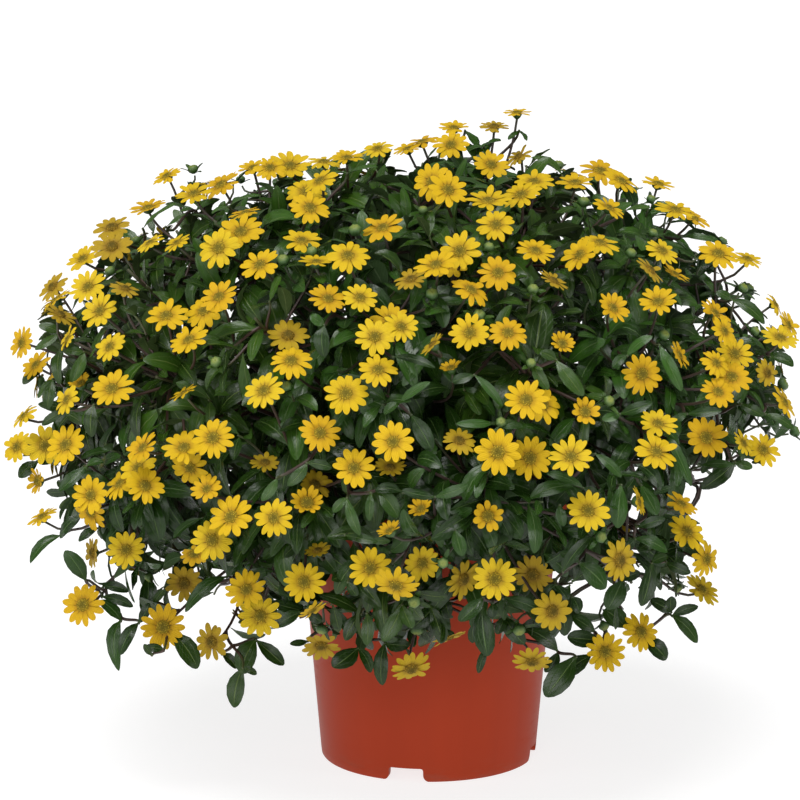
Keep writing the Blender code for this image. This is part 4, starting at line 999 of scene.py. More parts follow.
def in_sight(sprays, paths, charted):
    """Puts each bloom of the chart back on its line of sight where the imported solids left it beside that, and brings
    forward those behind a stem. All stay clear of the other blooms."""
    rows = [(s, key, j) for s in sprays for key in ("used", "left") for j in range(len(s[key]))]
    centres = np.array([s[key][j][0] for s, key, j in rows])
    along = [chart_of(path) for path in paths]
    for k, (s, key, j) in enumerate(rows):
        h = s[key][j]
        if h[4] is None:
            continue
        v = unit(charted[h[4]][0] - EYE_AT)
        at = EYE_AT + v * float(np.dot(h[0] - EYE_AT, v))
        others = np.delete(centres, k, axis=0)

        def gap(t):
            return float(np.linalg.norm(others - (at + v * t), axis=1).min())

        if np.linalg.norm(at - h[0]) > 0.0015:
            steps = (0.0, 0.004, -0.004, 0.008, -0.008, 0.012, -0.012)
            at = at + v * max(steps, key=lambda t: min(0.016, gap(t)) - abs(t) * 0.15)
        else:
            at = h[0]
        x, y, z = (float(c[0]) for c in chart_of(at))
        ahead = 0.0
        for px, py, pz in along:
            over = (np.hypot(px - x, py - y) < 0.75 * LENS * h[2] / z) & (pz < z + 0.003)
            if over.any():
                ahead = max(ahead, z + 0.005 - float(pz[over].min()))
        if 0.0 < ahead < 0.022 and gap(-ahead) > 0.010:
            at = at - v * ahead
        centres[k] = at
        s[key][j] = (at, *h[1:])


def lay_out():
    """The stems, blooms and first leaves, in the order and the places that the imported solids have."""
    blooms = plan_blooms()
    own, seeds = clusters([b[0] for b in blooms], SPRAYS)
    charted = blooms[: len(BLOOMS)]
    spray_tips = []
    for k in range(SPRAYS):
        c = seeds[k]
        d = c - np.array((0.0, 0.0, DOME_CENTRE))
        spray_tips.append(np.array((0.0, 0.0, DOME_CENTRE)) + d * 0.88 / max(0.3, level(c)))
    tips = spray_tips + leafy_seeds(spray_tips, SHOOTS)
    bases = crown_bases(tips)
    rng = random.Random(SEED + 1)
    room = Room()
    order = sorted(range(len(tips)), key=lambda i: tips[i][2])
    stems = {}
    for k in order:
        spray = k < SPRAYS
        owner = ("spray" if spray else "shoot", k)
        made = free_stem(room, bases[k], tips[k], SPRAY_RINGS if spray else SHOOT_RINGS, owner, rng)
        if made is not None:
            stems[k] = made
            room.add(loft(made[0]) if spray else loft(made[0], end=made[1][-1]), owner)
    sprays, shoots = [], []
    for k in [k for k in order if k < SPRAYS and k in stems]:
        mine = [blooms[i] for i in range(len(blooms)) if own[i] == k]
        _, used, left = build_spray(k, *stems[k], mine, room, rng)
        used = [(*turned_head(p2, f2, rad, small, charted), mid) for p2, f2, rad, small, mid, neck in used]
        left = [turned_head(p2, f2, rad, small, charted) for p2, f2, rad, small in left]
        used, left = ([h for h in row if h[4] is not None or not bare(h[0])] for row in (used, left))
        sprays.append({"path": stems[k][1], "used": used, "left": left})
    for k in [k for k in order if k >= SPRAYS and k in stems]:
        _, used = build_shoot(k, *stems[k], room, random.Random(SEED + 100 + k))
        shoots.append({"path": stems[k][1], "used": used})
    in_sight(sprays, [np.array(s["path"]) for s in sprays + shoots], charted)
    return sprays, shoots


# ---------------------------------------------------------------- mesh parts
class Bag:
    """Gathers the corners and faces of one piece."""

    def __init__(self):
        self.v, self.count = [], 0
        self.faces = {3: [], 4: []}
        self.uvs = {3: [], 4: []}
        self.mats = {3: [], 4: []}

    def add(self, verts, faces, uvs, mat):
        """Faces index into verts; uvs has one pair for each corner; mat is one number or one for each face."""
        verts = np.asarray(verts, float)
        faces = np.asarray(faces, np.int64)
        k = faces.shape[1]
        self.v.append(verts)
        self.faces[k].append(faces + self.count)
        self.uvs[k].append(np.asarray(uvs, float).reshape(len(faces), k, 2))
        self.mats[k].append(np.full(len(faces), mat, np.int32) if np.isscalar(mat) else np.asarray(mat, np.int32))
        self.count += len(verts)

    def more(self, faces, uvs, mat):
        """Further faces on the corners added last."""
        faces = np.asarray(faces, np.int64)
        k = faces.shape[1]
        self.faces[k].append(faces + self.count - len(self.v[-1]))
        self.uvs[k].append(np.asarray(uvs, float).reshape(len(faces), k, 2))
        self.mats[k].append(np.full(len(faces), mat, np.int32) if np.isscalar(mat) else np.asarray(mat, np.int32))

    def triangles(self):
        return sum(len(f) for f in self.faces[3]) + 2 * sum(len(f) for f in self.faces[4])

    def make(self, name, materials, sharp=62):
        mesh = bpy.data.meshes.new(name)
        verts = np.concatenate(self.v) + np.array((POT_AXIS[0], POT_AXIS[1], 0.0))
        quads = np.concatenate(self.faces[4]) if self.faces[4] else np.zeros((0, 4), np.int64)
        tris = np.concatenate(self.faces[3]) if self.faces[3] else np.zeros((0, 3), np.int64)
        loops = np.concatenate([quads.ravel(), tris.ravel()]).astype(np.int32)
        starts = np.concatenate(
            [np.arange(len(quads)) * 4, len(quads) * 4 + np.arange(len(tris)) * 3]
        ).astype(np.int32)
        uvs = np.concatenate(
            [np.concatenate(self.uvs[k]).reshape(-1, 2) if self.uvs[k] else np.zeros((0, 2)) for k in (4, 3)]
        )
        mats = np.concatenate([np.concatenate(self.mats[k]) if self.mats[k] else np.zeros(0, np.int32) for k in (4, 3)])
        mesh.vertices.add(len(verts))
        mesh.vertices.foreach_set("co", verts.ravel().astype(np.float32))
        mesh.loops.add(len(loops))
        mesh.loops.foreach_set("vertex_index", loops)
        mesh.polygons.add(len(starts))
        mesh.polygons.foreach_set("loop_start", starts)
        mesh.update(calc_edges=True)
        layer = mesh.uv_layers.new(name="OFBake")
        layer.data.foreach_set("uv", uvs.ravel().astype(np.float32))
        for m in materials:
            mesh.materials.append(m)
        mesh.polygons.foreach_set("material_index", mats.astype(np.int32))
        mesh.polygons.foreach_set("use_smooth", np.ones(len(starts), bool))
        mesh.set_sharp_from_angle(angle=math.radians(sharp))
        mesh.update()
        ob = bpy.data.objects.new(name, mesh)
        bpy.context.scene.collection.objects.link(ob)
        return ob


def cell_uv(cell, u, v):
    """Places local coordinates in one cell of the piece's map, four cells by four."""
    cell = np.asarray(cell)
    return np.stack([(cell % 4 + 0.06 + 0.88 * u) / 4.0, (cell // 4 + 0.06 + 0.88 * v) / 4.0], axis=-1)


def sheet_pattern(ts, us, pointed):
    """A thin closed blade: rows ts along it, columns us across it, a top and an underside that share its edge."""
    rows, cols = len(ts), len(us)
    verts, top, low = [], {}, {}
    for i, t in enumerate(ts):
        for j, u in enumerate(us):
            top[i, j] = len(verts)
            verts.append((t, u, 0.0))
    tip = len(verts)
    if pointed:
        verts.append((1.0, 0.0, 0.0))
    for i, t in enumerate(ts):
        for j, u in enumerate(us):
            if j in (0, cols - 1) or i == 0 or (i == rows - 1 and not pointed):
                low[i, j] = top[i, j]
            else:
                low[i, j] = len(verts)
                verts.append((t, u, 1.0))
    quads, tris, under4, under3 = [], [], [], []
    for i in range(rows - 1):
        for j in range(cols - 1):
            quads.append((top[i, j], top[i, j + 1], top[i + 1, j + 1], top[i + 1, j]))
            under4.append(0)
            quads.append((low[i, j], low[i + 1, j], low[i + 1, j + 1], low[i, j + 1]))
            under4.append(1)
    if pointed:
        for j in range(cols - 1):
            tris.append((top[rows - 1, j], top[rows - 1, j + 1], tip))
            under3.append(0)
            tris.append((low[rows - 1, j], tip, low[rows - 1, j + 1]))
            under3.append(1)
    return np.array(verts), np.array(quads), np.array(under4), np.array(tris).reshape(-1, 3), np.array(under3)


LEAF_FINE = sheet_pattern((0.0, 0.07, 0.20, 0.38, 0.58, 0.78, 0.91, 0.98), (-1.0, -0.52, 0.0, 0.52, 1.0), True)
LEAF_PLAIN = sheet_pattern((0.0, 0.18, 0.45, 0.75, 0.94), (-1.0, 0.0, 1.0), True)
PETAL = sheet_pattern((0.0, 0.30, 0.55, 0.75, 0.90, 1.0), (-1.0, -0.5, 0.0, 0.5, 1.0), False)
LEAF_WIDE = (
    (0.0, 0.07, 0.12, 0.20, 0.30, 0.38, 0.48, 0.58, 0.70, 0.78, 0.86, 0.91, 0.95, 0.98, 1.0),
    (0.15, 0.17, 0.30, 0.52, 0.78, 0.90, 0.985, 1.0, 0.94, 0.84, 0.68, 0.54, 0.38, 0.22, 0.0),
)
PETAL_WIDE = ((0.0, 0.30, 0.55, 0.75, 0.90, 1.0), (0.60, 0.86, 1.0, 0.88, 0.64, 0.32))


def place_sheets(bag, pattern, sheets, wide, thick, mat_top, mat_low, notch=0.0):
    """Adds many blades of one pattern. Each is a tuple (root, along, normal, length, width, start, bend, fold, curl,
    sweep, ruffle, phase, top cell, under cell)."""
    if not sheets:
        return
    verts, quads, under4, tris, under3 = pattern
    root = np.array([s[0] for s in sheets])
    d = np.array([s[1] for s in sheets])
    n = np.array([s[2] for s in sheets])
    w = np.cross(d, n)
    length, width, start, bend, fold, curl, sweep, ruffle, phase = (
        np.array([s[k] for s in sheets], float)[:, None] for k in range(3, 12)
    )
    cells = np.array([[s[12], s[13]] for s in sheets])
    t, u, under = verts[:, 0][None, :], verts[:, 1][None, :], verts[:, 2][None, :]
    if notch:
        back = np.interp(np.abs(u), (0.0, 0.5, 1.0), (0.05, 0.10, 0.75)) * notch
        t = t - back * np.clip((t - 0.80) / 0.20, 0, 1)
    bend = np.where(np.abs(bend) < 0.02, 0.02, bend)
    th = start + bend * t
    x = length * (np.sin(th) - np.sin(start)) / bend
    y = length * (np.cos(th) - np.cos(start)) / bend
    half = 0.5 * width * np.interp(t, *wide)
    rise = half * (fold * np.abs(u) - curl * u * u) + ruffle * np.abs(u) * np.sin(9.5 * t + phase + 1.3 * u) * np.sin(
        math.pi * np.clip(t, 0, 1)
    )
    rise = rise - under * thick * (1 - 0.6 * u * u)
    across = u * half + sweep * length * t * t
    nx = d[:, None, :] * np.sin(th)[..., None] + n[:, None, :] * np.cos(th)[..., None]
    at = (
        root[:, None, :]
        + d[:, None, :] * x[..., None]
        + n[:, None, :] * y[..., None]
        + w[:, None, :] * across[..., None]
        + nx * rise[..., None]
    )
    count, size = at.shape[0], at.shape[1]
    offset = (np.arange(count) * size)[:, None, None]
    uv_t = np.clip(verts[:, 0], 0, 1)
    uv_u = 0.5 + 0.5 * verts[:, 1]

    def corner_uvs(faces, under_of):
        cell = cells[:, under_of]  # sheets by faces
        cell = np.repeat(cell[:, :, None], faces.shape[1], axis=2)
        return cell_uv(cell, uv_u[faces][None], uv_t[faces][None])

    bag.add(
        at.reshape(-1, 3),
        (quads[None] + offset).reshape(-1, 4),
        corner_uvs(quads, under4).reshape(-1, 2),
        np.tile(np.where(under4 == 1, mat_low, mat_top), count),
    )
    if len(tris):
        bag.more(
            (tris[None] + offset).reshape(-1, 3),
            corner_uvs(tris, under3).reshape(-1, 2),
            np.tile(np.where(under3 == 1, mat_low, mat_top), count),
        )


def frame_of(d, like=None):
    d = unit(d)
    ref = like if like is not None else (UP if abs(d[2]) < 0.9 else np.array((1.0, 0.0, 0.0)))
    x = ref - d * np.dot(ref, d)
    x = unit(x) if np.linalg.norm(x) > 1e-6 else unit(np.cross(d, (0.3, 0.9, 0.1)))
    return x, np.cross(d, x)


def tube(bag, pts, radii, sides, cell, mat, v0=0.0, v1=1.0):
    """A closed round tube through the points, with domed ends."""
    pts = [np.asarray(p, float) for p in pts]
    n = len(pts)
    x = None
    rings, along = [], cut_lengths(pts)
    ang = np.arange(sides) * 2 * math.pi / sides
    for k in range(n):
        if k == 0:
            d = pts[1] - pts[0]
        elif k == n - 1:
            d = pts[-1] - pts[-2]
        else:
            d = unit(pts[k + 1] - pts[k]) + unit(pts[k] - pts[k - 1])
        x, y = frame_of(d, x)
        rings.append(pts[k] + radii[k] * (np.cos(ang)[:, None] * x + np.sin(ang)[:, None] * y))
    d0, d1 = unit(pts[1] - pts[0]), unit(pts[-1] - pts[-2])
    verts = np.concatenate(rings + [[pts[0] - d0 * radii[0] * 0.4], [pts[-1] + d1 * radii[-1] * 0.5]])
    quads, uvs = [], []
    total = max(along[-1], 1e-9)
    for k in range(n - 1):
        a, b = v0 + (v1 - v0) * along[k] / total, v0 + (v1 - v0) * along[k + 1] / total
        for j in range(sides):
            i = (j + 1) % sides
            quads.append((k * sides + j, k * sides + i, (k + 1) * sides + i, (k + 1) * sides + j))
            f, g = j / sides, (j + 1) / sides
            uvs += [(f, a), (g, a), (g, b), (f, b)]
    uvs = np.array(uvs)
    bag.add(verts, quads, cell_uv(cell, uvs[:, 0], uvs[:, 1]), mat)
    tris, uvs = [], []
    for j in range(sides):
        i = (j + 1) % sides
        f, g = j / sides, (j + 1) / sides
        tris.append((i, j, n * sides))
        uvs += [(g, v0), (f, v0), (f, v0)]
        tris.append(((n - 1) * sides + j, (n - 1) * sides + i, n * sides + 1))
        uvs += [(f, v1), (g, v1), (f, v1)]
    uvs = np.array(uvs)
    bag.more(tris, cell_uv(cell, uvs[:, 0], uvs[:, 1]), mat)


def lathe(bag, centre, axis, profile, sides, parts, wobble=None, like=None):
    """A closed turned form about an axis. profile is (radius, height) from its low end to its top, both on the axis;
    parts gives each band's (cell, material, flat map or not)."""
    x, y = frame_of(axis, like)
    axis = unit(axis)
    ang = np.arange(sides) * 2 * math.pi / sides
    rings = []
    inner = profile[1:-1]
    for k, (r, h) in enumerate(inner):
        rr = np.full(sides, r)
        hh = np.full(sides, h)
        if wobble is not None:
            dr, dh = wobble(k, sides)
            rr, hh = rr + dr, hh + dh
        rings.append(
            centre + rr[:, None] * (np.cos(ang)[:, None] * x + np.sin(ang)[:, None] * y) + hh[:, None] * axis
        )
    m = len(inner)
    verts = np.concatenate(rings + [[centre + axis * profile[0][1]], [centre + axis * profile[-1][1]]])
    widest = max(r for r, _ in profile)
    heights = [h for _, h in profile]
    lo, hi = min(heights), max(heights)

    def uv(k, j, flat):
        if k == "low":
            r, h, a = 0.0, profile[0][1], ang[j % sides]
        elif k == "top":
            r, h, a = 0.0, profile[-1][1], ang[j % sides]
        else:
            r, h, a = inner[k][0], inner[k][1], ang[j % sides]
        if flat:
            return 0.5 + 0.5 * r / widest * math.cos(a), 0.5 + 0.5 * r / widest * math.sin(a)
        return j / sides, (h - lo) / (hi - lo)

    first = True
    for k in range(m - 1):
        cell, mat, flat = parts[k + 1]
        quads, uvs = [], []
        for j in range(sides):
            i = (j + 1) % sides
            quads.append((k * sides + j, k * sides + i, (k + 1) * sides + i, (k + 1) * sides + j))
            uvs += [uv(k, j, flat), uv(k, j + 1, flat), uv(k + 1, j + 1, flat), uv(k + 1, j, flat)]
        uvs = np.array(uvs)
        put = cell_uv(cell, uvs[:, 0], uvs[:, 1])
        if first:
            bag.add(verts, quads, put, mat)
            first = False
        else:
            bag.more(quads, put, mat)
    for end, cellmat in (("low", parts[0]), ("top", parts[-1])):
        cell, mat, flat = cellmat
        tris, uvs = [], []
        for j in range(sides):
            i = (j + 1) % sides
            if end == "low":
                tris.append((i, j, m * sides))
                uvs += [uv(0, j + 1, flat), uv(0, j, flat), uv("low", j, flat)]
            else:
                tris.append(((m - 1) * sides + j, (m - 1) * sides + i, m * sides + 1))
                uvs += [uv(m - 1, j, flat), uv(m - 1, j + 1, flat), uv("top", j, flat)]
        uvs = np.array(uvs)
        bag.more(tris, cell_uv(cell, uvs[:, 0], uvs[:, 1]), mat)


# ---------------------------------------------------------------- where leaves may grow
def pot_r(z):
    return np.where(z < POT_HEIGHT - RIM_BAND, FOOT_R + (BODY_TOP_R - FOOT_R) * z / (POT_HEIGHT - RIM_BAND), RIM_TOP_R)


class Field:
    """Keeps leaves off the blooms, the pot and each other."""

    def __init__(self, heads):
        self.c = np.array([h[0] for h in heads])
        self.f = np.array([h[1] for h in heads])
        self.r = np.array([h[2] for h in heads])
        self.x, self.y, self.z = chart_of(self.c)
        self.px = LENS * self.r / self.z * np.array([0.0 if len(h) > 4 and h[4] is None else 1.0 for h in heads])
        to_eye = EYE_AT - self.c
        to_eye /= np.linalg.norm(to_eye, axis=1)[:, None]
        self.seen = (to_eye * np.array([outward(c) for c in self.c])).sum(axis=1) > 0.0
        self.seen |= np.array([len(h) > 4 and h[4] is not None for h in heads])
        self.cells = {}
        self.gaps = np.array(OPENINGS, float).T

    def near(self, p, reach):
        size = 0.006
        a = np.floor((p - reach) / size).astype(int)
        b = np.floor((p + reach) / size).astype(int)
        for i in range(a[0], b[0] + 1):
            for j in range(a[1], b[1] + 1):
                for k in range(a[2], b[2] + 1):
                    for q, who in self.cells.get((i, j, k), ()):
                        if (q[0] - p[0]) ** 2 + (q[1] - p[1]) ** 2 + (q[2] - p[2]) ** 2 < reach * reach:
                            return True
        return False

    def hold(self, pts, who):
        for p in pts:
            key = tuple(np.floor(p / 0.006).astype(int))
            self.cells.setdefault(key, []).append((p, who))

    def hides_bloom(self, pts, share):
        """Whether any point shows in front of a bloom on the plant's near side."""
        x, y, z = chart_of(pts)
        off = np.hypot(x[:, None] - self.x[None], y[:, None] - self.y[None])
        return bool(((off < self.px[None] * share) & (z[:, None] < self.z[None] - 0.001) & self.seen[None]).any())

    def hits_head(self, pts, ahead=0.020):
        v = pts[:, None, :] - self.c[None]
        h = (v * self.f[None]).sum(axis=2)
        out = np.sqrt(np.maximum((v * v).sum(axis=2) - h * h, 0))
        return bool(((h > -0.0016) & (h < ahead) & (out < self.r[None] * 1.02)).any())

    def free(self, mid, edge, half, gap=0.0030, limit=1.05):
        """mid: points along the midrib; edge: points along both margins; half: the blade's half width."""
        pts = np.concatenate([mid, edge])
        r = np.hypot(pts[:, 0], pts[:, 1])
        if pts[:, 2].min() < 0.012:
            return False
        if ((pts[:, 2] < POT_HEIGHT + 0.003) & (r < pot_r(pts[:, 2]) + 0.0022) & ~((pts[:, 2] > 0.124) & (r < 0.058))).any():
            return False
        if max(level(p) for p in mid[-2:]) > limit:
            return False
        if self.hits_head(pts, 0.014):
            return False
        x, y, z = chart_of(pts)
        if not within(x, y, EDGE).all():
            return False
        gaps = self.gaps
        if (((x[:, None] - gaps[0]) / gaps[2]) ** 2 + ((y[:, None] - gaps[1]) / gaps[3]) ** 2 < 1).any():
            return False
        if self.hides_bloom(pts, 0.81):
            return False
        for p in mid[1:]:
            if self.near(p, gap):
                return False
        return True


RIBS = np.array((0.12, 0.35, 0.6, 0.85, 1.0))


def blade_points(root, d, n, w, length, width, start, bend, sweep):
    b = bend if abs(bend) > 0.02 else 0.02
    th = start + b * RIBS
    x = length * (np.sin(th) - math.sin(start)) / b
    y = length * (np.cos(th) - math.cos(start)) / b
    mid = root + d * x[:, None] + n * y[:, None] + w * (sweep * length * RIBS**2)[:, None]
    edge = np.concatenate([mid[1:4] + w * width * 0.46, mid[1:4] - w * width * 0.46])
    return mid, edge


def shade(rng, root):
    """The map's cell for a leaf: 0 is the darkest green and 7 the lightest. Low leaves get dark cells, which is painted
    shade, and the top leaves get light cells, which is painted light.
    """
    high = min(1.0, max(0.0, (root[2] - 0.115) / 0.150))
    top = min(1.0, max(0.0, (root[2] - 0.255) / 0.030))
    return min(7, max(0, int(rng.uniform(-0.5, 4.0 + 2.5 * high) + 2.0 * high + 1.8 * top)))


class Growth:
    """One piece's leaves, twigs and buds as they are being placed."""

    def __init__(self, field, rng):
        self.field, self.rng = field, rng
        self.fine, self.plain = [], []
        self.tubes = []
        self.buds = []

    def leaf(self, root, d, n, length, width, tries=1, turn=None, small=False):
        rng = self.rng
        n0 = n
        for attempt in range(tries):
            size = 1.0 - 0.07 * attempt
            way = d if attempt == 0 else unit(d + np.array([rng.uniform(-0.4, 0.4) for _ in range(3)]))
            nn = n0 - way * np.dot(n0, way)
            if np.linalg.norm(nn) < 0.05:
                continue
            nn = unit(nn)
            w = np.cross(way, nn)
            start = rng.uniform(-0.55, -0.05)
            bend = rng.uniform(0.75, 1.75) if not small else rng.uniform(0.2, 0.8)
            sweep = max(-0.34, min(0.34, -0.28 * w[2] + rng.uniform(-0.09, 0.09)))
            ln, wd = length * size, width * size
            mid, edge = blade_points(root, way, nn, w, ln, wd, start, bend, sweep)
            if self.field.free(mid, edge, wd * 0.5, gap=0.0028 if not small else 0.0016):
                self.field.hold(mid[1:], 0)
                deep = level(mid[2]) < 0.74
                fold = rng.uniform(0.16, 0.62)
                spec = (
                    root, way, nn, ln, wd, start, bend, fold, rng.uniform(0.05, 0.30), sweep,
                    rng.uniform(0.0, 0.0007), rng.uniform(0, 6.28), shade(rng, root), 8 + rng.randrange(2),
                )
                (self.plain if deep else self.fine).append(spec)
                return True
        return False

    def placed(self, root, tip, width, n, bow=None):
        """A leaf from its root to its tip, wherever they are."""
        rng = self.rng
        chord = float(np.linalg.norm(tip - root))
        d = unit(tip - root)
        nn = unit(n - d * np.dot(n, d))
        some = rng.choice((-1, 1)) * rng.uniform(0.08, 0.24)
        bow = some if bow is None else bow
        d = d * math.cos(bow) - np.cross(d, nn) * math.sin(bow)
        bend = rng.uniform(0.5, 1.15)
        start = -bend / 2
        length = chord * math.cos(bow) * bend / (2 * math.sin(bend / 2))
        sweep = chord * math.sin(bow) / length
        mid, edge = blade_points(root, d, nn, np.cross(d, nn), length, width, start, bend, sweep)
        self.field.hold(mid[1:], 0)
        self.fine.append(
            (
                root, d, nn, length, width, start, bend, rng.uniform(0.18, 0.52), rng.uniform(0.1, 0.3), sweep,
                rng.uniform(0.0001, 0.0006), rng.uniform(0, 6.28), shade(rng, root), 8 + rng.randrange(2),
            )
        )

    def pair(self, q, along, turn, size, tries=4, small=False, spread=0.5):
        """Two opposite leaves at a place on a stem."""
        rng = self.rng
        n = outward(q)
        x, y = frame_of(along)
        made = 0
        for half in range(2):
            a = turn + half * math.pi + rng.uniform(-0.15, 0.15)
            away = x * math.cos(a) + y * math.sin(a)
            d = unit(away * 0.9 + along * rng.uniform(0.25, 0.65) * (spread / 0.5))
            side = 1.0 - min(1.0, abs(n[2]))
            d = unit(d - UP * (0.42 * side if d[2] > -0.5 else 0.1) + n * 0.12)
            roll = np.array([rng.uniform(-0.34, 0.34) for _ in range(3)])
            normal = unit(along * 0.50 + n * 0.42 + UP * 0.52 + roll)
            ln = 0.0285 * size * rng.uniform(0.80, 1.16)
            wd = 0.0092 * (size**0.8) * rng.uniform(0.84, 1.16)
            made += self.leaf(q + away * 0.0009, d, normal, ln, wd, tries=tries, small=small)
        return made


def smooth_path(p0, way0, p1, way1, count, pull=0.38):
    far = float(np.linalg.norm(p1 - p0))
    a = p0 + unit(way0) * far * pull
    b = p1 - unit(way1) * far * pull
    return [bezier(p0, a, b, p1, k / (count - 1.0)) for k in range(count)]


# ---------------------------------------------------------------- blooms and buds
def bloom(bag, petals, rng, centre, facing, radius, small, aged_or_shaded):
    """A flower head: its involucre and domed disc as one closed form, and its ray petals."""
    f = unit(facing)
    x, y = frame_of(f, np.array((rng.uniform(-1, 1), rng.uniform(-1, 1), rng.uniform(-1, 1))))
    disc = radius * (0.315 if not small else 0.44)
    dome = disc * (0.34 if not aged_or_shaded else 0.60)
    cup = [
        (0.0, -HEAD_DEPTH - 0.0002), (0.0009, -HEAD_DEPTH), (disc * 0.78, -0.0021), (disc * 1.06, -0.0009), (disc * 1.03, 0.0001),
    ]
    top = [(disc * 0.93, dome * 0.42), (disc * 0.72, dome * 0.78), (disc * 0.45, dome * 0.96), (disc * 0.2, dome * 0.98), (0.0, dome * 0.90)]
    base = len(cup) - 1

    def rough_disc(k, sides):
        if k < base:
            lift = 0.00014 * np.cos(np.arange(sides) * math.pi)
            return lift * (1 if k in (1, 2) else 0), np.zeros(sides)
        s = 1.0 if k % 2 else -1.0
        wave = np.cos(np.arange(sides) * math.pi) * s
        jit = np.array([rng.uniform(-1, 1) for _ in range(sides)])
        return 0.00010 * wave, 0.00017 * wave + 0.00013 * jit

    # aged or shaded blooms take the darker disc and petal tones; on shaded blooms these are painted shade
    cell = 9 if aged_or_shaded else 8
    parts = [(11, 3, False)] * (base + 0) + [(cell, 2, True)] * (len(top) + 1)
    lathe(bag, centre, f, cup + top, 14, parts, rough_disc, x)
    if small:
        count = rng.randint(10, 13)
    else:
        count = rng.randint(12, 14)
    turn = rng.uniform(0, 2 * math.pi)
    tilt = rng.uniform(-0.12, 0.18) if not small else rng.uniform(0.40, 0.75)
    shape = rng.uniform(0.10, 0.55)
    hue = rng.choice((0, 1, 1, 2, 3)) if not aged_or_shaded else rng.choice((4, 5))
    if small:
        hue = 2
    for k in range(count):
        a = turn + 2 * math.pi * (k + rng.uniform(-0.13, 0.13)) / count
        out = x * math.cos(a) + y * math.sin(a)
        up = tilt + (0.055 if k % 2 else -0.03) + rng.uniform(-0.07, 0.07)
        if rng.random() < 0.05:
            up += rng.uniform(0.15, 0.4)
        d = unit(out * math.cos(up) + f * math.sin(up))
        n = unit(f * math.cos(up) - out * math.sin(up))
        start = disc * 0.86
        length = (radius - start) * rng.uniform(0.87, 1.08) if not small else radius * rng.uniform(0.60, 0.78)
        width = radius * (4.34 / count) * rng.uniform(0.90, 1.08)
        twist = rng.uniform(-0.16, 0.16)
        w = np.cross(d, n)
        n = unit(n * math.cos(twist) + w * math.sin(twist))
        petals.append(
            (
                centre + out * start + f * (0.0002 + 0.0001 * (k % 2)), d, n, length, width, -0.5 * shape * 0.6, shape * rng.uniform(0.7, 1.5),
                rng.uniform(-0.10, 0.16), rng.uniform(-0.10, 0.22), rng.uniform(-0.05, 0.05), rng.uniform(0, 0.00022), rng.uniform(0, 6.28),
                hue, 6 + (k % 2),
            )
        )


def bud(bag, leaves, rng, centre, facing, size):
    """A closed bud: a ribbed green globe with a paler crown, held by small bracts."""
    f = unit(facing)
    x, y = frame_of(f, np.array((rng.uniform(-1, 1), rng.uniform(-1, 1), 0.3)))
    r = size * 0.5
    prof = [
        (0.0, -r * 0.95), (r * 0.30, -r * 0.88), (r * 0.80, -r * 0.50), (r * 1.0, 0.0), (r * 0.86, r * 0.42), (r * 0.52, r * 0.66),
        (r * 0.24, r * 0.62), (0.0, r * 0.56),
    ]

    def ribs(k, sides):
        wave = np.cos(np.arange(sides) * math.pi)
        return r * 0.055 * wave * (1 if k in (1, 2, 3) else 0.4), r * 0.05 * wave * (1 if k >= 4 else 0)

    parts = [(13, 3, False)] * 4 + [(12, 3, True)] * 4
    lathe(bag, centre, f, prof, 12, parts, ribs, x)
    turn = rng.uniform(0, 6.28)
    for k in range(4):
        a = turn + k * math.pi / 2 + rng.uniform(-0.2, 0.2)
        out = x * math.cos(a) + y * math.sin(a)
        lift = rng.uniform(0.15, 0.75)
        d = unit(out * math.cos(lift) + f * math.sin(lift))
        n = unit(f * math.cos(lift) - out * math.sin(lift))
        leaves.append(
            (centre - f * r * 0.8 + out * r * 0.25, d, n, size * rng.uniform(0.9, 1.5), size * 0.42, -0.2, 0.5, 0.2, 0.1, 0.0, 0.0, 0.0, rng.randrange(8), 8)
        )


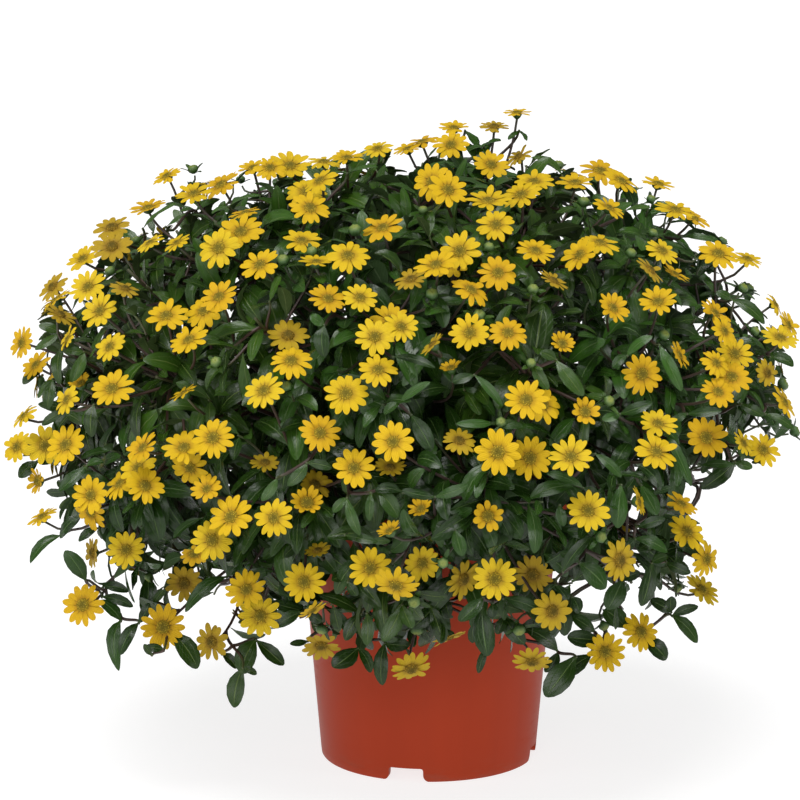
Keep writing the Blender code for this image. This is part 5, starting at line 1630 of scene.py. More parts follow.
# ---------------------------------------------------------------- materials
class Graph:
    """A small helper for building node materials."""

    def __init__(self, name):
        self.mat = bpy.data.materials.new(name)
        self.mat.use_nodes = True
        self.tree = self.mat.node_tree
        self.shader = self.tree.nodes["Principled BSDF"]

    def link(self, value, socket):
        if isinstance(value, bpy.types.NodeSocket):
            self.tree.links.new(value, socket)
        elif value is not None:
            socket.default_value = value

    def math(self, op, a, b=None, c=None, clamp=False):
        node = self.tree.nodes.new("ShaderNodeMath")
        node.operation = op
        node.use_clamp = clamp
        for value, socket in zip((a, b, c), node.inputs):
            self.link(value, socket)
        return node.outputs[0]

    def vec(self, op, a, b=None):
        node = self.tree.nodes.new("ShaderNodeVectorMath")
        node.operation = op
        self.link(a, node.inputs[0])
        if b is not None:
            self.link(b, node.inputs[1])
        return node.outputs["Value"] if op in ("LENGTH", "DISTANCE") else node.outputs[0]

    def mix(self, fac, a, b, blend="MIX"):
        node = self.tree.nodes.new("ShaderNodeMix")
        node.data_type = "RGBA"
        node.blend_type = blend
        self.link(fac, node.inputs["Factor"])
        for value, socket in ((a, node.inputs[6]), (b, node.inputs[7])):
            self.link((*value, 1.0) if isinstance(value, tuple) and len(value) == 3 else value, socket)
        return node.outputs[2]

    def step(self, value, low, high, a=0.0, b=1.0):
        node = self.tree.nodes.new("ShaderNodeMapRange")
        node.interpolation_type = "SMOOTHSTEP"
        self.link(value, node.inputs["Value"])
        for name, v in (("From Min", low), ("From Max", high), ("To Min", a), ("To Max", b)):
            self.link(v, node.inputs[name])
        return node.outputs[0]

    def noise(self, vector, scale, detail=2.0, rough=0.5, dims="3D"):
        node = self.tree.nodes.new("ShaderNodeTexNoise")
        node.noise_dimensions = dims
        self.link(vector, node.inputs["Vector"])
        node.inputs["Scale"].default_value = scale
        node.inputs["Detail"].default_value = detail
        node.inputs["Roughness"].default_value = rough
        return node.outputs[0]

    def bump(self, height, strength, distance):
        node = self.tree.nodes.new("ShaderNodeBump")
        node.inputs["Strength"].default_value = strength
        node.inputs["Distance"].default_value = distance
        self.link(height, node.inputs["Height"])
        self.tree.links.new(node.outputs[0], self.shader.inputs["Normal"])

    def cell(self):
        """Local coordinates in the map's cell, and a number that is the same all over the cell."""
        uv = self.tree.nodes.new("ShaderNodeUVMap")
        uv.uv_map = "OFBake"
        four = self.vec("MULTIPLY", uv.outputs[0], (4.0, 4.0, 4.0))
        local = self.vec("FRACTION", four)
        whole = self.vec("FLOOR", four)
        split = self.tree.nodes.new("ShaderNodeSeparateXYZ")
        self.link(local, split.inputs[0])
        white = self.tree.nodes.new("ShaderNodeTexWhiteNoise")
        white.noise_dimensions = "2D"
        self.link(whole, white.inputs["Vector"])
        u = self.math("DIVIDE", self.math("SUBTRACT", split.outputs[0], 0.06), 0.88)
        v = self.math("DIVIDE", self.math("SUBTRACT", split.outputs[1], 0.06), 0.88)
        return u, v, white.outputs["Value"], four, local

    def done(self, colour, rough):
        self.link(colour, self.shader.inputs["Base Color"])
        self.link(rough, self.shader.inputs["Roughness"])
        return self.mat


def tinted(c, k):
    return tuple(float(max(0.0, x * y)) for x, y in zip(c, k))


def leaf_material(name, tint):
    g = Graph(name)
    u, v, r, four, local = g.cell()
    split = g.tree.nodes.new("ShaderNodeSeparateXYZ")
    g.link(g.vec("FLOOR", four), split.inputs[0])
    r = g.step(g.math("ADD", split.outputs[0], g.math("MULTIPLY", split.outputs[1], 4.0)), 0.0, 7.0)
    across = g.math("MULTIPLY", g.math("ABSOLUTE", g.math("SUBTRACT", u, 0.5)), 2.0)
    mottle = g.noise(four, 3.2, 3.0, 0.6)
    fine = g.noise(four, 26.0, 2.0, 0.6)
    dark, mid, light = ((0.0072, 0.0205, 0.0022), (0.0155, 0.0435, 0.0032), (0.0310, 0.0820, 0.0078))
    dark, mid, light = (tinted(c, tint) for c in (dark, mid, light))
    # the cell's number sets the green from dark to light: shade() gives low leaves dark cells as painted shade and top
    # leaves light cells as painted light
    base = g.mix(r, dark, light)
    base = g.mix(g.step(mottle, 0.30, 0.72, 0.0, 0.65), base, mid)
    # the blade is a little paler towards its foot, and the margin a little darker
    base = g.mix(g.step(v, 0.0, 0.22, 0.55, 0.0), base, tinted((0.050, 0.098, 0.018), tint))
    base = g.mix(g.step(across, 0.78, 1.0, 0.0, 0.45), base, dark)
    vein = tinted((0.072, 0.118, 0.028), tint)
    rib = g.math("MULTIPLY", g.step(across, 0.025, 0.085, 1.0, 0.0), g.step(v, 0.75, 1.0, 0.85, 0.1))
    arch = g.math("ADD", 0.10, g.math("MULTIPLY", 0.42, g.math("SINE", g.math("MULTIPLY", v, math.pi))))
    side = g.step(g.math("ABSOLUTE", g.math("SUBTRACT", across, arch)), 0.012, 0.05, 0.22, 0.0)
    slant = g.math("SUBTRACT", g.math("MULTIPLY", v, 9.0), g.math("MULTIPLY", across, 2.6))
    cross = g.step(g.math("SINE", g.math("MULTIPLY", slant, 2 * math.pi)), 0.90, 1.0, 0.0, 0.07)
    colour = g.mix(rib, base, vein)
    colour = g.mix(side, colour, vein)
    colour = g.mix(cross, colour, vein)
    height = g.math("SUBTRACT", g.math("MULTIPLY", fine, 0.25), g.math("ADD", g.math("MULTIPLY", rib, 0.9), g.math("MULTIPLY", side, 1.2)))
    height = g.math("SUBTRACT", height, g.math("MULTIPLY", cross, 2.6))
    g.bump(height, 0.55, 0.00035)
    rough = g.step(mottle, 0.25, 0.75, 0.17, 0.30)
    g.shader.inputs["Specular IOR Level"].default_value = 0.29
    return g.done(colour, rough)


def under_material(name, tint):
    g = Graph(name)
    u, v, r, four, local = g.cell()
    across = g.math("MULTIPLY", g.math("ABSOLUTE", g.math("SUBTRACT", u, 0.5)), 2.0)
    mottle = g.noise(four, 4.0, 3.0, 0.6)
    base = g.mix(g.step(mottle, 0.3, 0.7), tinted((0.034, 0.064, 0.018), tint), tinted((0.050, 0.088, 0.026), tint))
    rib = g.step(across, 0.03, 0.10, 0.9, 0.0)
    colour = g.mix(rib, base, tinted((0.105, 0.150, 0.060), tint))
    slant = g.math("SUBTRACT", g.math("MULTIPLY", v, 9.0), g.math("MULTIPLY", across, 2.6))
    cross = g.step(g.math("SINE", g.math("MULTIPLY", slant, 2 * math.pi)), 0.85, 1.0, 0.0, 0.30)
    colour = g.mix(cross, colour, tinted((0.084, 0.130, 0.050), tint))
    g.bump(g.math("ADD", rib, g.math("ADD", cross, g.math("MULTIPLY", mottle, 0.2))), 0.5, 0.0003)
    g.shader.inputs["Specular IOR Level"].default_value = 0.25
    return g.done(colour, g.step(mottle, 0.25, 0.75, 0.48, 0.62))


def stem_material(name, tint):
    g = Graph(name)
    u, v, r, four, local = g.cell()
    streak = g.noise(g.vec("MULTIPLY", four, (9.0, 1.2, 1.0)), 3.0, 3.0, 0.6)
    blotch = g.noise(four, 6.0, 3.0, 0.6)
    wine = tinted((0.027, 0.012, 0.009), tint)
    brown = tinted((0.048, 0.024, 0.013), tint)
    green = tinted((0.045, 0.072, 0.018), tint)
    base = g.mix(g.step(streak, 0.35, 0.65), wine, brown)
    tip = g.math("ADD", v, g.math("MULTIPLY", g.math("SUBTRACT", blotch, 0.5), 0.5))
    colour = g.mix(g.step(tip, 0.62, 1.0, 0.0, 0.75), base, green)
    g.bump(streak, 0.5, 0.0002)
    return g.done(colour, g.step(streak, 0.3, 0.7, 0.42, 0.58))


def petal_material(name, under=False):
    g = Graph(name)
    u, v, r, four, local = g.cell()
    split = g.tree.nodes.new("ShaderNodeSeparateXYZ")
    g.link(g.vec("FLOOR", four), split.inputs[0])
    number = g.math("ADD", split.outputs[0], g.math("MULTIPLY", split.outputs[1], 4.0))
    ramp = g.tree.nodes.new("ShaderNodeValToRGB")
    ramp.color_ramp.interpolation = "CONSTANT"
    # tones 0 to 3 are fresh yellows; 4 and 5 are darker ochre, for blooms that have turned and as painted shade on
    # blooms in the shade of others; 6 and 7 are the petals' backs
    tones = (
        (0.518, 0.351, 0.0104), (0.527, 0.338, 0.0091), (0.504, 0.304, 0.0091), (0.541, 0.379, 0.0143),
        (0.390, 0.265, 0.014), (0.340, 0.225, 0.015), (0.36, 0.25, 0.012), (0.33, 0.23, 0.014),
    )
    elements = ramp.color_ramp.elements
    elements[0].position, elements[0].color = 0.0, (*tones[0], 1.0)
    elements[1].position, elements[1].color = 1 / 16.0 - 0.001, (*tones[1], 1.0)
    for k in range(2, len(tones)):
        e = elements.new(k / 16.0 - 0.001)
        e.color = (*tones[k], 1.0)
    g.link(g.math("DIVIDE", number, 16.0), ramp.inputs[0])
    base = ramp.outputs[0]
    across = g.math("MULTIPLY", g.math("ABSOLUTE", g.math("SUBTRACT", u, 0.5)), 2.0)
    mottle = g.noise(four, 5.0, 3.0, 0.6)
    lines = g.math("SINE", g.math("MULTIPLY", u, 2 * math.pi * 4.0))
    # deeper, more orange towards the disc, a lighter tip, and fine lines along the petal
    colour = g.mix(g.step(v, 0.0, 0.42, 0.95, 0.0), base, g.mix(1.0, base, (0.62, 0.56, 1.2), "MULTIPLY"))
    colour = g.mix(g.step(lines, 0.1, 1.0, 0.0, 0.30), colour, g.mix(1.0, base, (0.90, 0.76, 0.60), "MULTIPLY"))
    colour = g.mix(g.step(mottle, 0.50, 0.85, 0.0, 0.35), colour, g.mix(1.0, base, (1.02, 1.08, 1.2), "MULTIPLY"))
    colour = g.mix(g.step(v, 0.86, 1.0, 0.0, 0.25), colour, g.mix(1.0, base, (1.03, 1.08, 1.4), "MULTIPLY"))
    g.bump(g.math("ADD", lines, g.math("MULTIPLY", mottle, 0.6)), 0.35, 0.00018)
    g.shader.inputs["Specular IOR Level"].default_value = 0.10
    return g.done(colour, g.step(mottle, 0.25, 0.75, 0.50, 0.66))


def disc_material(name):
    g = Graph(name)
    u, v, r, four, local = g.cell()
    flat = g.tree.nodes.new("ShaderNodeCombineXYZ")
    g.link(g.math("SUBTRACT", u, 0.5), flat.inputs[0])
    g.link(g.math("SUBTRACT", v, 0.5), flat.inputs[1])
    out = g.math("MULTIPLY", g.vec("LENGTH", flat.outputs[0]), 2.0)
    dots = g.tree.nodes.new("ShaderNodeTexVoronoi")
    g.link(local, dots.inputs["Vector"])
    dots.inputs["Scale"].default_value = 13.0
    dots.inputs["Randomness"].default_value = 0.65
    grain = dots.outputs["Distance"]
    split = g.tree.nodes.new("ShaderNodeSeparateXYZ")
    g.link(g.vec("FLOOR", four), split.inputs[0])
    aged_or_shaded = g.math("SUBTRACT", split.outputs[0], 0.0)  # cell 8 is fresh, and cell 9 is aged or in painted shade
    fresh = g.mix(g.step(out, 0.20, 0.90), (0.225, 0.175, 0.020), (0.360, 0.245, 0.016))
    old_or_shaded = g.mix(g.step(out, 0.20, 0.95), (0.165, 0.115, 0.016), (0.270, 0.165, 0.014))
    colour = g.mix(aged_or_shaded, fresh, old_or_shaded)
    lit = g.mix(1.0, colour, (1.45, 1.40, 1.2), "MULTIPLY")
    dim = g.mix(1.0, colour, (0.55, 0.55, 0.50), "MULTIPLY")
    colour = g.mix(g.step(grain, 0.18, 0.55), lit, dim)
    g.bump(g.math("SUBTRACT", 1.0, grain), 0.8, 0.0005)
    g.shader.inputs["Specular IOR Level"].default_value = 0.15
    return g.done(colour, g.step(grain, 0.1, 0.6, 0.62, 0.85))


def bract_material(name, tint=(1.0, 1.0, 1.0)):
    g = Graph(name)
    u, v, r, four, local = g.cell()
    mottle = g.noise(four, 7.0, 3.0, 0.6)
    ribs = g.math("ABSOLUTE", g.math("SINE", g.math("MULTIPLY", u, math.pi * 6.0)))
    split = g.tree.nodes.new("ShaderNodeSeparateXYZ")
    g.link(g.vec("FLOOR", four), split.inputs[0])
    crown = g.math("SUBTRACT", 1.0, split.outputs[0], clamp=True)  # only the first cell of its row is a bud's crown
    green = g.mix(g.step(v, 0.0, 1.0), tinted((0.028, 0.068, 0.014), tint), tinted((0.052, 0.108, 0.020), tint))
    green = g.mix(g.step(ribs, 0.0, 0.35, 0.45, 0.0), green, tinted((0.022, 0.060, 0.015), tint))
    flat = g.tree.nodes.new("ShaderNodeCombineXYZ")
    g.link(g.math("SUBTRACT", u, 0.5), flat.inputs[0])
    g.link(g.math("SUBTRACT", v, 0.5), flat.inputs[1])
    out = g.math("MULTIPLY", g.vec("LENGTH", flat.outputs[0]), 2.0)
    pale = g.mix(g.step(out, 0.25, 0.95), (0.165, 0.200, 0.028), (0.050, 0.105, 0.020))
    pale = g.mix(g.step(mottle, 0.4, 0.7, 0.0, 0.4), pale, (0.085, 0.140, 0.026))
    colour = g.mix(crown, green, pale)
    g.bump(g.math("ADD", ribs, g.math("MULTIPLY", mottle, 0.5)), 0.4, 0.0002)
    return g.done(colour, g.step(mottle, 0.3, 0.7, 0.45, 0.60))


def pot_material():
    g = Graph("moulded_plastic")
    where = g.tree.nodes.new("ShaderNodeTexCoord").outputs["Object"]
    broad = g.noise(where, 14.0, 3.0, 0.55)
    streaks = g.noise(g.vec("MULTIPLY", where, (90.0, 90.0, 5.0)), 1.0, 3.0, 0.6)
    grain = g.noise(where, 1600.0, 2.0, 0.6)
    scuffs = g.noise(g.vec("MULTIPLY", where, (60.0, 60.0, 260.0)), 1.0, 4.0, 0.7)
    colour = g.mix(g.step(broad, 0.30, 0.70), (0.302, 0.0330, 0.0105), (0.330, 0.0365, 0.0116))
    colour = g.mix(g.step(streaks, 0.40, 0.75, 0.0, 0.35), colour, (0.286, 0.033, 0.0115))
    split = g.tree.nodes.new("ShaderNodeSeparateXYZ")
    g.link(where, split.inputs[0])
    dust = g.math("MULTIPLY", g.step(split.outputs[2], 0.0, 0.014, 1.0, 0.0), g.step(scuffs, 0.45, 0.75, 0.0, 0.35))
    colour = g.mix(dust, colour, (0.220, 0.075, 0.050))
    height = g.math("ADD", g.math("MULTIPLY", grain, 0.35), g.math("MULTIPLY", streaks, 0.8))
    g.bump(height, 0.18, 0.00025)
    g.shader.inputs["Specular IOR Level"].default_value = 0.09
    rough = g.math("ADD", g.step(broad, 0.3, 0.7, 0.40, 0.48), g.step(scuffs, 0.5, 0.8, 0.0, 0.12))
    return g.done(colour, rough)


def soil_material():
    g = Graph("peat_mix")
    where = g.tree.nodes.new("ShaderNodeTexCoord").outputs["Object"]
    crumbs = g.noise(where, 420.0, 4.0, 0.7)
    fibre = g.noise(g.vec("MULTIPLY", where, (300.0, 900.0, 300.0)), 1.0, 3.0, 0.7)
    colour = g.mix(g.step(crumbs, 0.30, 0.72), (0.012, 0.007, 0.005), (0.060, 0.036, 0.022))
    colour = g.mix(g.step(fibre, 0.62, 0.80, 0.0, 0.6), colour, (0.130, 0.080, 0.045))
    g.bump(g.math("ADD", crumbs, g.math("MULTIPLY", fibre, 0.5)), 0.9, 0.0012)
    return g.done(colour, g.step(crumbs, 0.3, 0.7, 0.82, 0.97))


def floor_material():
    g = Graph("pale_floor")
    where = g.tree.nodes.new("ShaderNodeTexCoord").outputs["Object"]
    n = g.noise(where, 3.0, 2.0, 0.5)
    colour = g.mix(g.step(n, 0.3, 0.7), (0.27, 0.27, 0.27), (0.29, 0.29, 0.29))
    g.shader.inputs["Emission Color"].default_value = (1.0, 1.0, 1.0, 1.0)
    g.shader.inputs["Emission Strength"].default_value = 0.79
    return g.done(colour, 0.85)


# ---------------------------------------------------------------- pot and soil
def solid_from(name, verts, faces):
    mesh = bpy.data.meshes.new(name)
    mesh.from_pydata([(x + POT_AXIS[0], y + POT_AXIS[1], z) for x, y, z in verts], [], [tuple(f) for f in faces])
    mesh.update()
    ob = bpy.data.objects.new(name, mesh)
    bpy.context.scene.collection.objects.link(ob)
    return ob


def arc(cx, cz, r, a0, a1, steps):
    return [(cx + r * math.cos(math.radians(a0 + (a1 - a0) * k / steps)), cz + r * math.sin(math.radians(a0 + (a1 - a0) * k / steps))) for k in range(steps + 1)]


def fine_pot_profile():
    """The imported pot's own profile, with its edges rounded."""
    band = POT_HEIGHT - RIM_BAND
    inner_top = RIM_TOP_R - WALL * 1.15
    inner_band = RIM_LOW_R - WALL * 1.15
    foot_in = FOOT_R - FOOT_THICK
    p = [(0.0, FLOOR_UNDER), (0.020, FLOOR_UNDER), (foot_in - 0.0026, FLOOR_UNDER)]
    p += [(foot_in - 0.0016, FLOOR_UNDER - 0.0003), (foot_in - 0.0009, FLOOR_UNDER - 0.0014), (foot_in, 0.0012)]
    p += [(foot_in + 0.0004, 0.0003), (foot_in + 0.0012, 0.0), (FOOT_R - 0.0014, 0.0), (FOOT_R - 0.0005, 0.00025), (FOOT_R, 0.0010)]
    top = band - 0.002
    for z in (0.004, 0.012, 0.030, 0.055, 0.080, 0.100, top - 0.0015):
        p.append((body_r(z), z))
    p += [(body_r(top) + 0.0003, top), (RIM_LOW_R - 0.0010, band - 0.0009), (RIM_LOW_R - 0.0003, band - 0.0005), (RIM_LOW_R, band + 0.0006)]
    p += [((RIM_LOW_R + RIM_TOP_R) / 2, band + RIM_BAND * 0.5), (RIM_TOP_R - 0.0001, POT_HEIGHT - 0.0024)]
    p += [(RIM_TOP_R, POT_HEIGHT - 0.0010), (RIM_TOP_R - 0.0003, POT_HEIGHT - 0.0003), (RIM_TOP_R - 0.0009, POT_HEIGHT)]
    p += [(inner_top + 0.0006, POT_HEIGHT), (inner_top + 0.0001, POT_HEIGHT - 0.0004), (inner_top, POT_HEIGHT - 0.0012)]
    p += [(inner_band + 0.0001, band + 0.0040), (inner_band - 0.0004, band + 0.0026), (body_r(band) - WALL + 0.0004, band + 0.0002), (body_r(band) - WALL, band - 0.0014)]
    for t in (0.75, 0.5, 0.25):
        p.append((body_r(band * t) - WALL, band * t))
    p += [(body_r(FLOOR_TOP) - WALL - 0.0004, FLOOR_TOP + 0.0026), (body_r(FLOOR_TOP) - WALL - 0.0012, FLOOR_TOP + 0.0008), (body_r(FLOOR_TOP) - WALL - 0.0030, FLOOR_TOP), (0.0, FLOOR_TOP)]
    return p


def notch_block(turn, name):
    half, h, c = NOTCH_WIDTH / 2, NOTCH_HEIGHT, NOTCH_CORNER
    right = [(half + c + 0.0004, -0.001), (half + c, 0.0)]
    for k in range(1, 7):
        a = math.pi / 2 * k / 6
        right.append((half + c - c * math.sin(a), c - c * math.cos(a)))
    right += [(half, h - 0.0012), (half - 0.0002, h - 0.0006), (half - 0.0006, h - 0.0002), (half - 0.0012, h)]
    outline = right + [(-x, z) for x, z in reversed(right)]
    verts, n = [], len(outline)
    ca, sa = math.cos(turn), math.sin(turn)
    for r in (FOOT_R - 0.012, FOOT_R + 0.006):
        for x, z in outline:
            verts.append((x * ca + r * sa, x * sa - r * ca, z))
    faces = [tuple(reversed(range(n))), tuple(range(n, 2 * n))]
    for i in range(n):
        j = (i + 1) % n
        faces.append((i, j, n + j, n + i))
    return solid_from(name, verts, faces)


def drain_block(x, y, name):
    verts, faces, n = [], [], 28
    for z in (FLOOR_UNDER - 0.002, FLOOR_TOP + 0.002):
        for k in range(n):
            a = 2 * math.pi * k / n
            verts.append((x + HOLE_R * math.cos(a), y + HOLE_R * math.sin(a), z))
    faces = [tuple(reversed(range(n))), tuple(range(n, 2 * n))]
    for i in range(n):
        j = (i + 1) % n
        faces.append((i, j, n + j, n + i))
    return solid_from(name, verts, faces)


def make_pot():
    verts, faces = turned(fine_pot_profile(), 112)
    pot = solid_from("pot_shell", verts, faces)
    blocks = []
    for k in range(NOTCHES):
        blocks.append(notch_block(NOTCH_TURN + k * 2 * math.pi / NOTCHES, f"block_{k}"))
        a = NOTCH_TURN + (k + 0.5) * 2 * math.pi / NOTCHES
        blocks.append(drain_block(HOLE_RING_R * math.cos(a), HOLE_RING_R * math.sin(a), f"drain_{k}"))
    blocks.append(drain_block(0.0, 0.0, "drain_middle"))
    for b in blocks:
        m = pot.modifiers.new(b.name, "BOOLEAN")
        m.operation, m.solver, m.object = "DIFFERENCE", "EXACT", b
    bpy.context.view_layer.update()
    made = bpy.data.meshes.new_from_object(pot.evaluated_get(bpy.context.evaluated_depsgraph_get()))
    pot.modifiers.clear()
    pot.data = made
    for b in blocks:
        bpy.data.objects.remove(b, do_unlink=True)
    made.materials.clear()
    made.materials.append(pot_material())
    made.polygons.foreach_set("material_index", np.zeros(len(made.polygons), np.int32))
    made.shade_smooth()
    made.set_sharp_from_angle(angle=math.radians(38))
    return pot


def make_soil():
    """The soil, with a crumbly top."""
    rng = random.Random(5)
    band = POT_HEIGHT - RIM_BAND

    def inner(z):
        return body_r(z) - WALL - GAP * 1.4

    sides = 96
    p = [(0.0, FLOOR_TOP + GAP), (body_r(FLOOR_TOP) - WALL - 0.0034, FLOOR_TOP + GAP), (inner(FLOOR_TOP) - 0.0014, FLOOR_TOP + 0.0016)]
    for t in (0.5, 0.97):
        p.append((inner(band * t) - 0.0001, band * t))
    p.append((inner(band) - 0.0006, SOIL_EDGE - 0.0016))
    p.append((inner(band) - 0.0022, SOIL_EDGE - 0.0002))
    flat = len(p)
    rings = 26
    for k in range(1, rings):
        r = (inner(band) - 0.0022) * (1 - k / rings)
        p.append((r, soil_level(r)))
    p.append((0.0, soil_level(0.0)))
    verts, faces = turned(p, sides)
    out = []
    for x, y, z in verts:
        r = math.hypot(x, y)
        if z > SOIL_EDGE - 0.001 and r < inner(band) - 0.003:
            z += 0.0009 * math.sin(x * 610 + 1.3 * math.sin(y * 480)) * math.sin(y * 570 + math.sin(x * 330)) + rng.uniform(-0.0008, 0.0008)
        out.append((x, y, z))
    ob = solid_from("soil_fill", out, faces)
    ob.data.materials.append(soil_material())
    ob.data.shade_smooth()
    ob.data.set_sharp_from_angle(angle=math.radians(60))
    return ob


# ---------------------------------------------------------------- putting the plant together
def nearest_on(paths, p, low, high, least, most, behind=1.0, tries=5):
    """Places on the paths where a twig may leave for p, the best first: (cost, which path, distance along it). behind
    is how much a step along the line of sight counts."""
    found = []
    for k, (pts, lengths) in enumerate(paths):
        total = lengths[-1]
        v = p - pts
        far = np.linalg.norm(v, axis=1)
        seen = np.linalg.norm(v - np.outer(v @ SIGHT, SIGHT) * (1 - behind), axis=1)
        d = np.gradient(pts, axis=0)
        d /= np.linalg.norm(d, axis=1)[:, None]
        bend = np.arccos(np.clip((v * d).sum(axis=1) / np.maximum(far, 1e-9), -1, 1))
        share = lengths / total
        ok = (share >= low) & (share <= high) & (far >= least) & (far <= most)
        if not ok.any():
            continue
        cost = seen * (1 + 0.7 * np.maximum(0, bend - 0.8) ** 2) + np.where(ok, 0, 1e6)
        i = int(np.argmin(cost))
        found.append((float(cost[i]), k, float(lengths[i])))
    return sorted(found)[:tries]


def twig_to(paths, field, p, end, low=0.30, high=0.96, least=0.014, most=0.085, tries=4, behind=1.0):
    """A twig from the nearest stem to p that crosses no bloom: (which stem, its points)."""
    for cost, k, s_at in nearest_on(paths, p, low, high, least, most, behind, tries):
        q, d = at_length(list(paths[k][0]), s_at)
        path = smooth_path(q, unit(unit(p - q) * 0.8 + d * 0.6), p, end, 9)
        pts = np.array(path)
        if field.hits_head(pts[1:-1], 0.010) or field.hides_bloom(pts[:-1], 0.90) or not within(*chart_of(pts)[:2], EDGE).all():
            continue
        return k, path
    return None


def clear_twig(paths, field, p, end):
    """A twig to p that shows as little as it can in front of blooms and in openings."""
    gaps, best = field.gaps, None
    for cost, k, s_at in nearest_on(paths, p, 0.25, 1.0, 0.005, 0.150, 0.5, 16):
        q, d = at_length(list(paths[k][0]), s_at)
        path = smooth_path(q, unit(unit(p - q) * 0.8 + d * 0.6), p, end, 9)
        pts = np.array(path)
        x, y, z = chart_of(pts)
        off = np.hypot(x[:, None] - field.x[None], y[:, None] - field.y[None])
        over = (off < field.px[None] * 0.95) & (z[:, None] < field.z[None] - 0.001) & field.seen[None]
        open_air = (((x[:, None] - gaps[0]) / gaps[2]) ** 2 + ((y[:, None] - gaps[1]) / gaps[3]) ** 2 < 1).any(axis=1)
        bad = over.any(axis=1).sum() * 0.020 + open_air.sum() * 0.006 + (~within(x, y, EDGE)).sum() * 0.004
        bad += 0.05 if field.hits_head(pts[1:-1], 0.008) else 0.0
        if best is None or cost + bad < best[0]:
            best = (cost + bad, k, path)
    return best[1:]


def clear_stalk(field, pts, near, neck, end):
    """A bloom's stalk from near a point of its stem, bowed to whichever side keeps it off other blooms and openings."""
    gaps, best = field.gaps, None
    for skip in (0, 1, -1, 2, -2, 3, -3, 4, -4):
        i = near + skip
        if i < 2 or i > len(pts) - 2:
            continue
        start = pts[i]
        d = unit(pts[i + 1] - pts[i - 1])
        side = unit(np.cross(neck - start, SIGHT))
        for lean in (0.0, 0.45, -0.45, 0.9, -0.9):
            way = unit(unit(neck - start) * 0.75 + d * 0.5 + side * lean)
            path = smooth_path(start, way, neck, unit(unit(neck - start) * 0.5 + end), 10, 0.34)
            x, y, z = chart_of(np.array(path[:-1]))
            off = np.hypot(x[:, None] - field.x[None], y[:, None] - field.y[None])
            over = ((off < field.px[None] * 0.95) & (z[:, None] < field.z[None] - 0.001) & field.seen[None]).any(axis=1)
            open_air = (((x[:, None] - gaps[0]) / gaps[2]) ** 2 + ((y[:, None] - gaps[1]) / gaps[3]) ** 2 < 1).any(axis=1)
            bad = abs(lean) * 0.7 + abs(skip) * 0.2 + over.sum() * 1.5 + open_air.sum()
            bad += 0.6 * (~within(x, y, EDGE)).sum() + 12.0 * max(0.0, cut_lengths(path)[-1] - 0.05)
            if best is None or bad < best[0]:
                best = (bad, path)
    return best[1]


